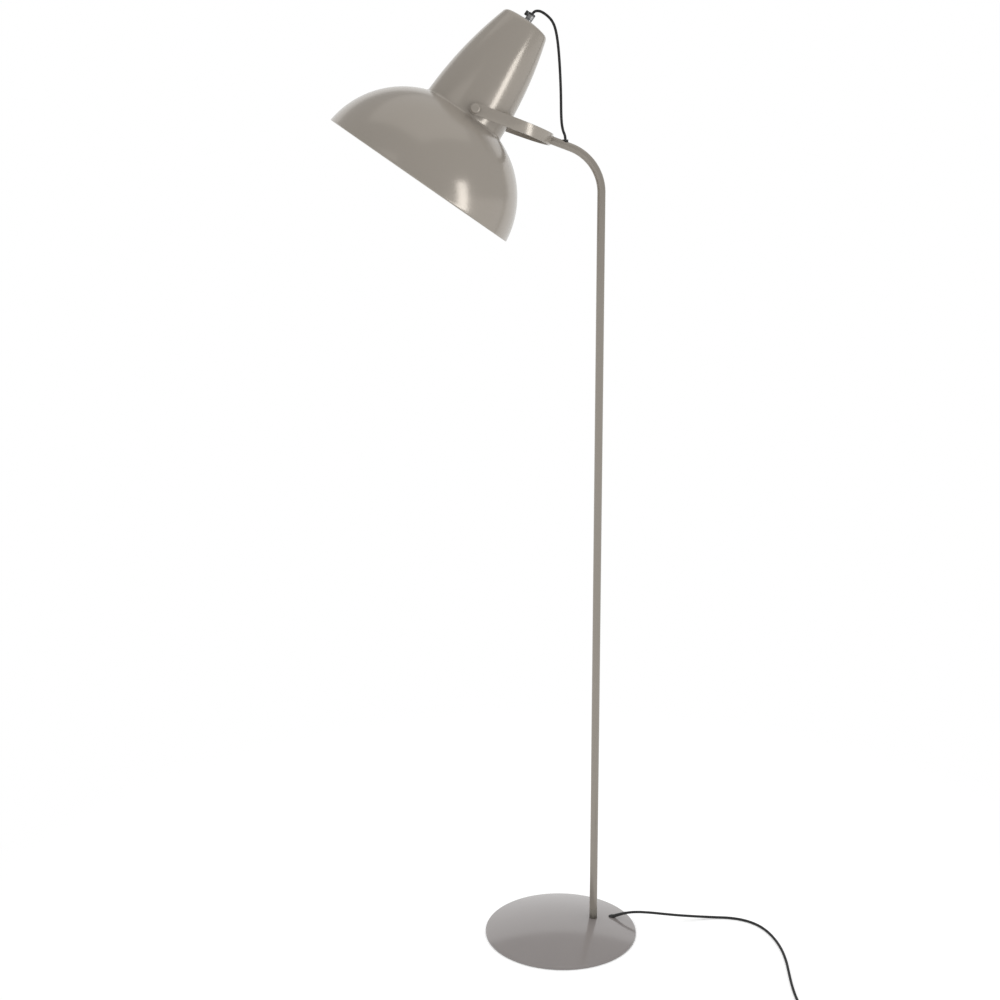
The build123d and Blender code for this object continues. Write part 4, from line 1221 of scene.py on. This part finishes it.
class READING_LAMP_OT_shade_cord(bpy.types.Operator):
    """Lays the free cord from the shade to the arm"""

    bl_idname = "reading_lamp.shade_cord"
    bl_label = "Shade Cord"

    def execute(self, context):
        make_shade_cord()
        return {"FINISHED"}


class READING_LAMP_OT_floor_cords(bpy.types.Operator):
    """Lays the cord to the foot switch, the coil and the plug"""

    bl_idname = "reading_lamp.floor_cords"
    bl_label = "Floor Cords"

    def execute(self, context):
        make_floor_cords()
        return {"FINISHED"}


class READING_LAMP_OT_shade(bpy.types.Operator):
    """Spins the shade with its rolled rim"""

    bl_idname = "reading_lamp.shade"
    bl_label = "Shade"

    def execute(self, context):
        make_shade()
        return {"FINISHED"}


class READING_LAMP_OT_cord_grip(bpy.types.Operator):
    """Turns the cord grip and its clamping screw"""

    bl_idname = "reading_lamp.cord_grip"
    bl_label = "Cord Grip"

    def execute(self, context):
        make_grip_barrel()
        make_grip_knob()
        return {"FINISHED"}


class READING_LAMP_OT_fork(bpy.types.Operator):
    """Bends the flat strip of the fork"""

    bl_idname = "reading_lamp.fork"
    bl_label = "Fork"

    def execute(self, context):
        make_fork()
        return {"FINISHED"}


class READING_LAMP_OT_tube(bpy.types.Operator):
    """Bends the tube"""

    bl_idname = "reading_lamp.tube"
    bl_label = "Tube"

    def execute(self, context):
        make_tube()
        return {"FINISHED"}


class READING_LAMP_OT_base(bpy.types.Operator):
    """Spins the base's cover"""

    bl_idname = "reading_lamp.base"
    bl_label = "Base"

    def execute(self, context):
        make_base()
        return {"FINISHED"}


class READING_LAMP_OT_fittings(bpy.types.Operator):
    """Finishes the screws, bushes, holder, bulb and inner pieces"""

    bl_idname = "reading_lamp.fittings"
    bl_label = "Fittings"

    def execute(self, context):
        dress_frame_nodes()
        return {"FINISHED"}


class READING_LAMP_OT_studio(bpy.types.Operator):
    """Adds the floor, the room and the lights"""

    bl_idname = "reading_lamp.studio"
    bl_label = "Studio"

    def execute(self, context):
        make_floor()
        make_room()
        make_lights()
        return {"FINISHED"}


OPERATORS = [
    READING_LAMP_OT_camera,
    READING_LAMP_OT_shade_cord,
    READING_LAMP_OT_floor_cords,
    READING_LAMP_OT_shade,
    READING_LAMP_OT_cord_grip,
    READING_LAMP_OT_fork,
    READING_LAMP_OT_tube,
    READING_LAMP_OT_base,
    READING_LAMP_OT_fittings,
    READING_LAMP_OT_studio,
]


class READING_LAMP_PT_build(bpy.types.Panel):
    """Lists the steps of the build."""

    bl_label = "Reading Lamp"
    bl_idname = "READING_LAMP_PT_build"
    bl_space_type = "VIEW_3D"
    bl_region_type = "UI"
    bl_category = "Reading Lamp"

    def draw(self, context):
        for made in OPERATORS:
            self.layout.operator(made.bl_idname)


GROUPS = [LampShadeSizes, LampForkSizes, LampStandSizes, LampColours, LampStudio, LampSettings]
CLASSES = [*GROUPS, *OPERATORS, READING_LAMP_PT_build]


def register():
    for made in CLASSES:
        bpy.utils.register_class(made)
    bpy.types.Scene.reading_lamp = PointerProperty(type=LampSettings)


def unregister():
    del bpy.types.Scene.reading_lamp
    for made in reversed(CLASSES):
        bpy.utils.unregister_class(made)


def main():
    """Builds the whole scene."""
    register()
    bpy.context.scene.view_settings.view_transform = "Standard"
    for made in OPERATORS:
        getattr(bpy.ops.reading_lamp, made.bl_idname.split(".")[1])()


if __name__ == "__main__":
    main()
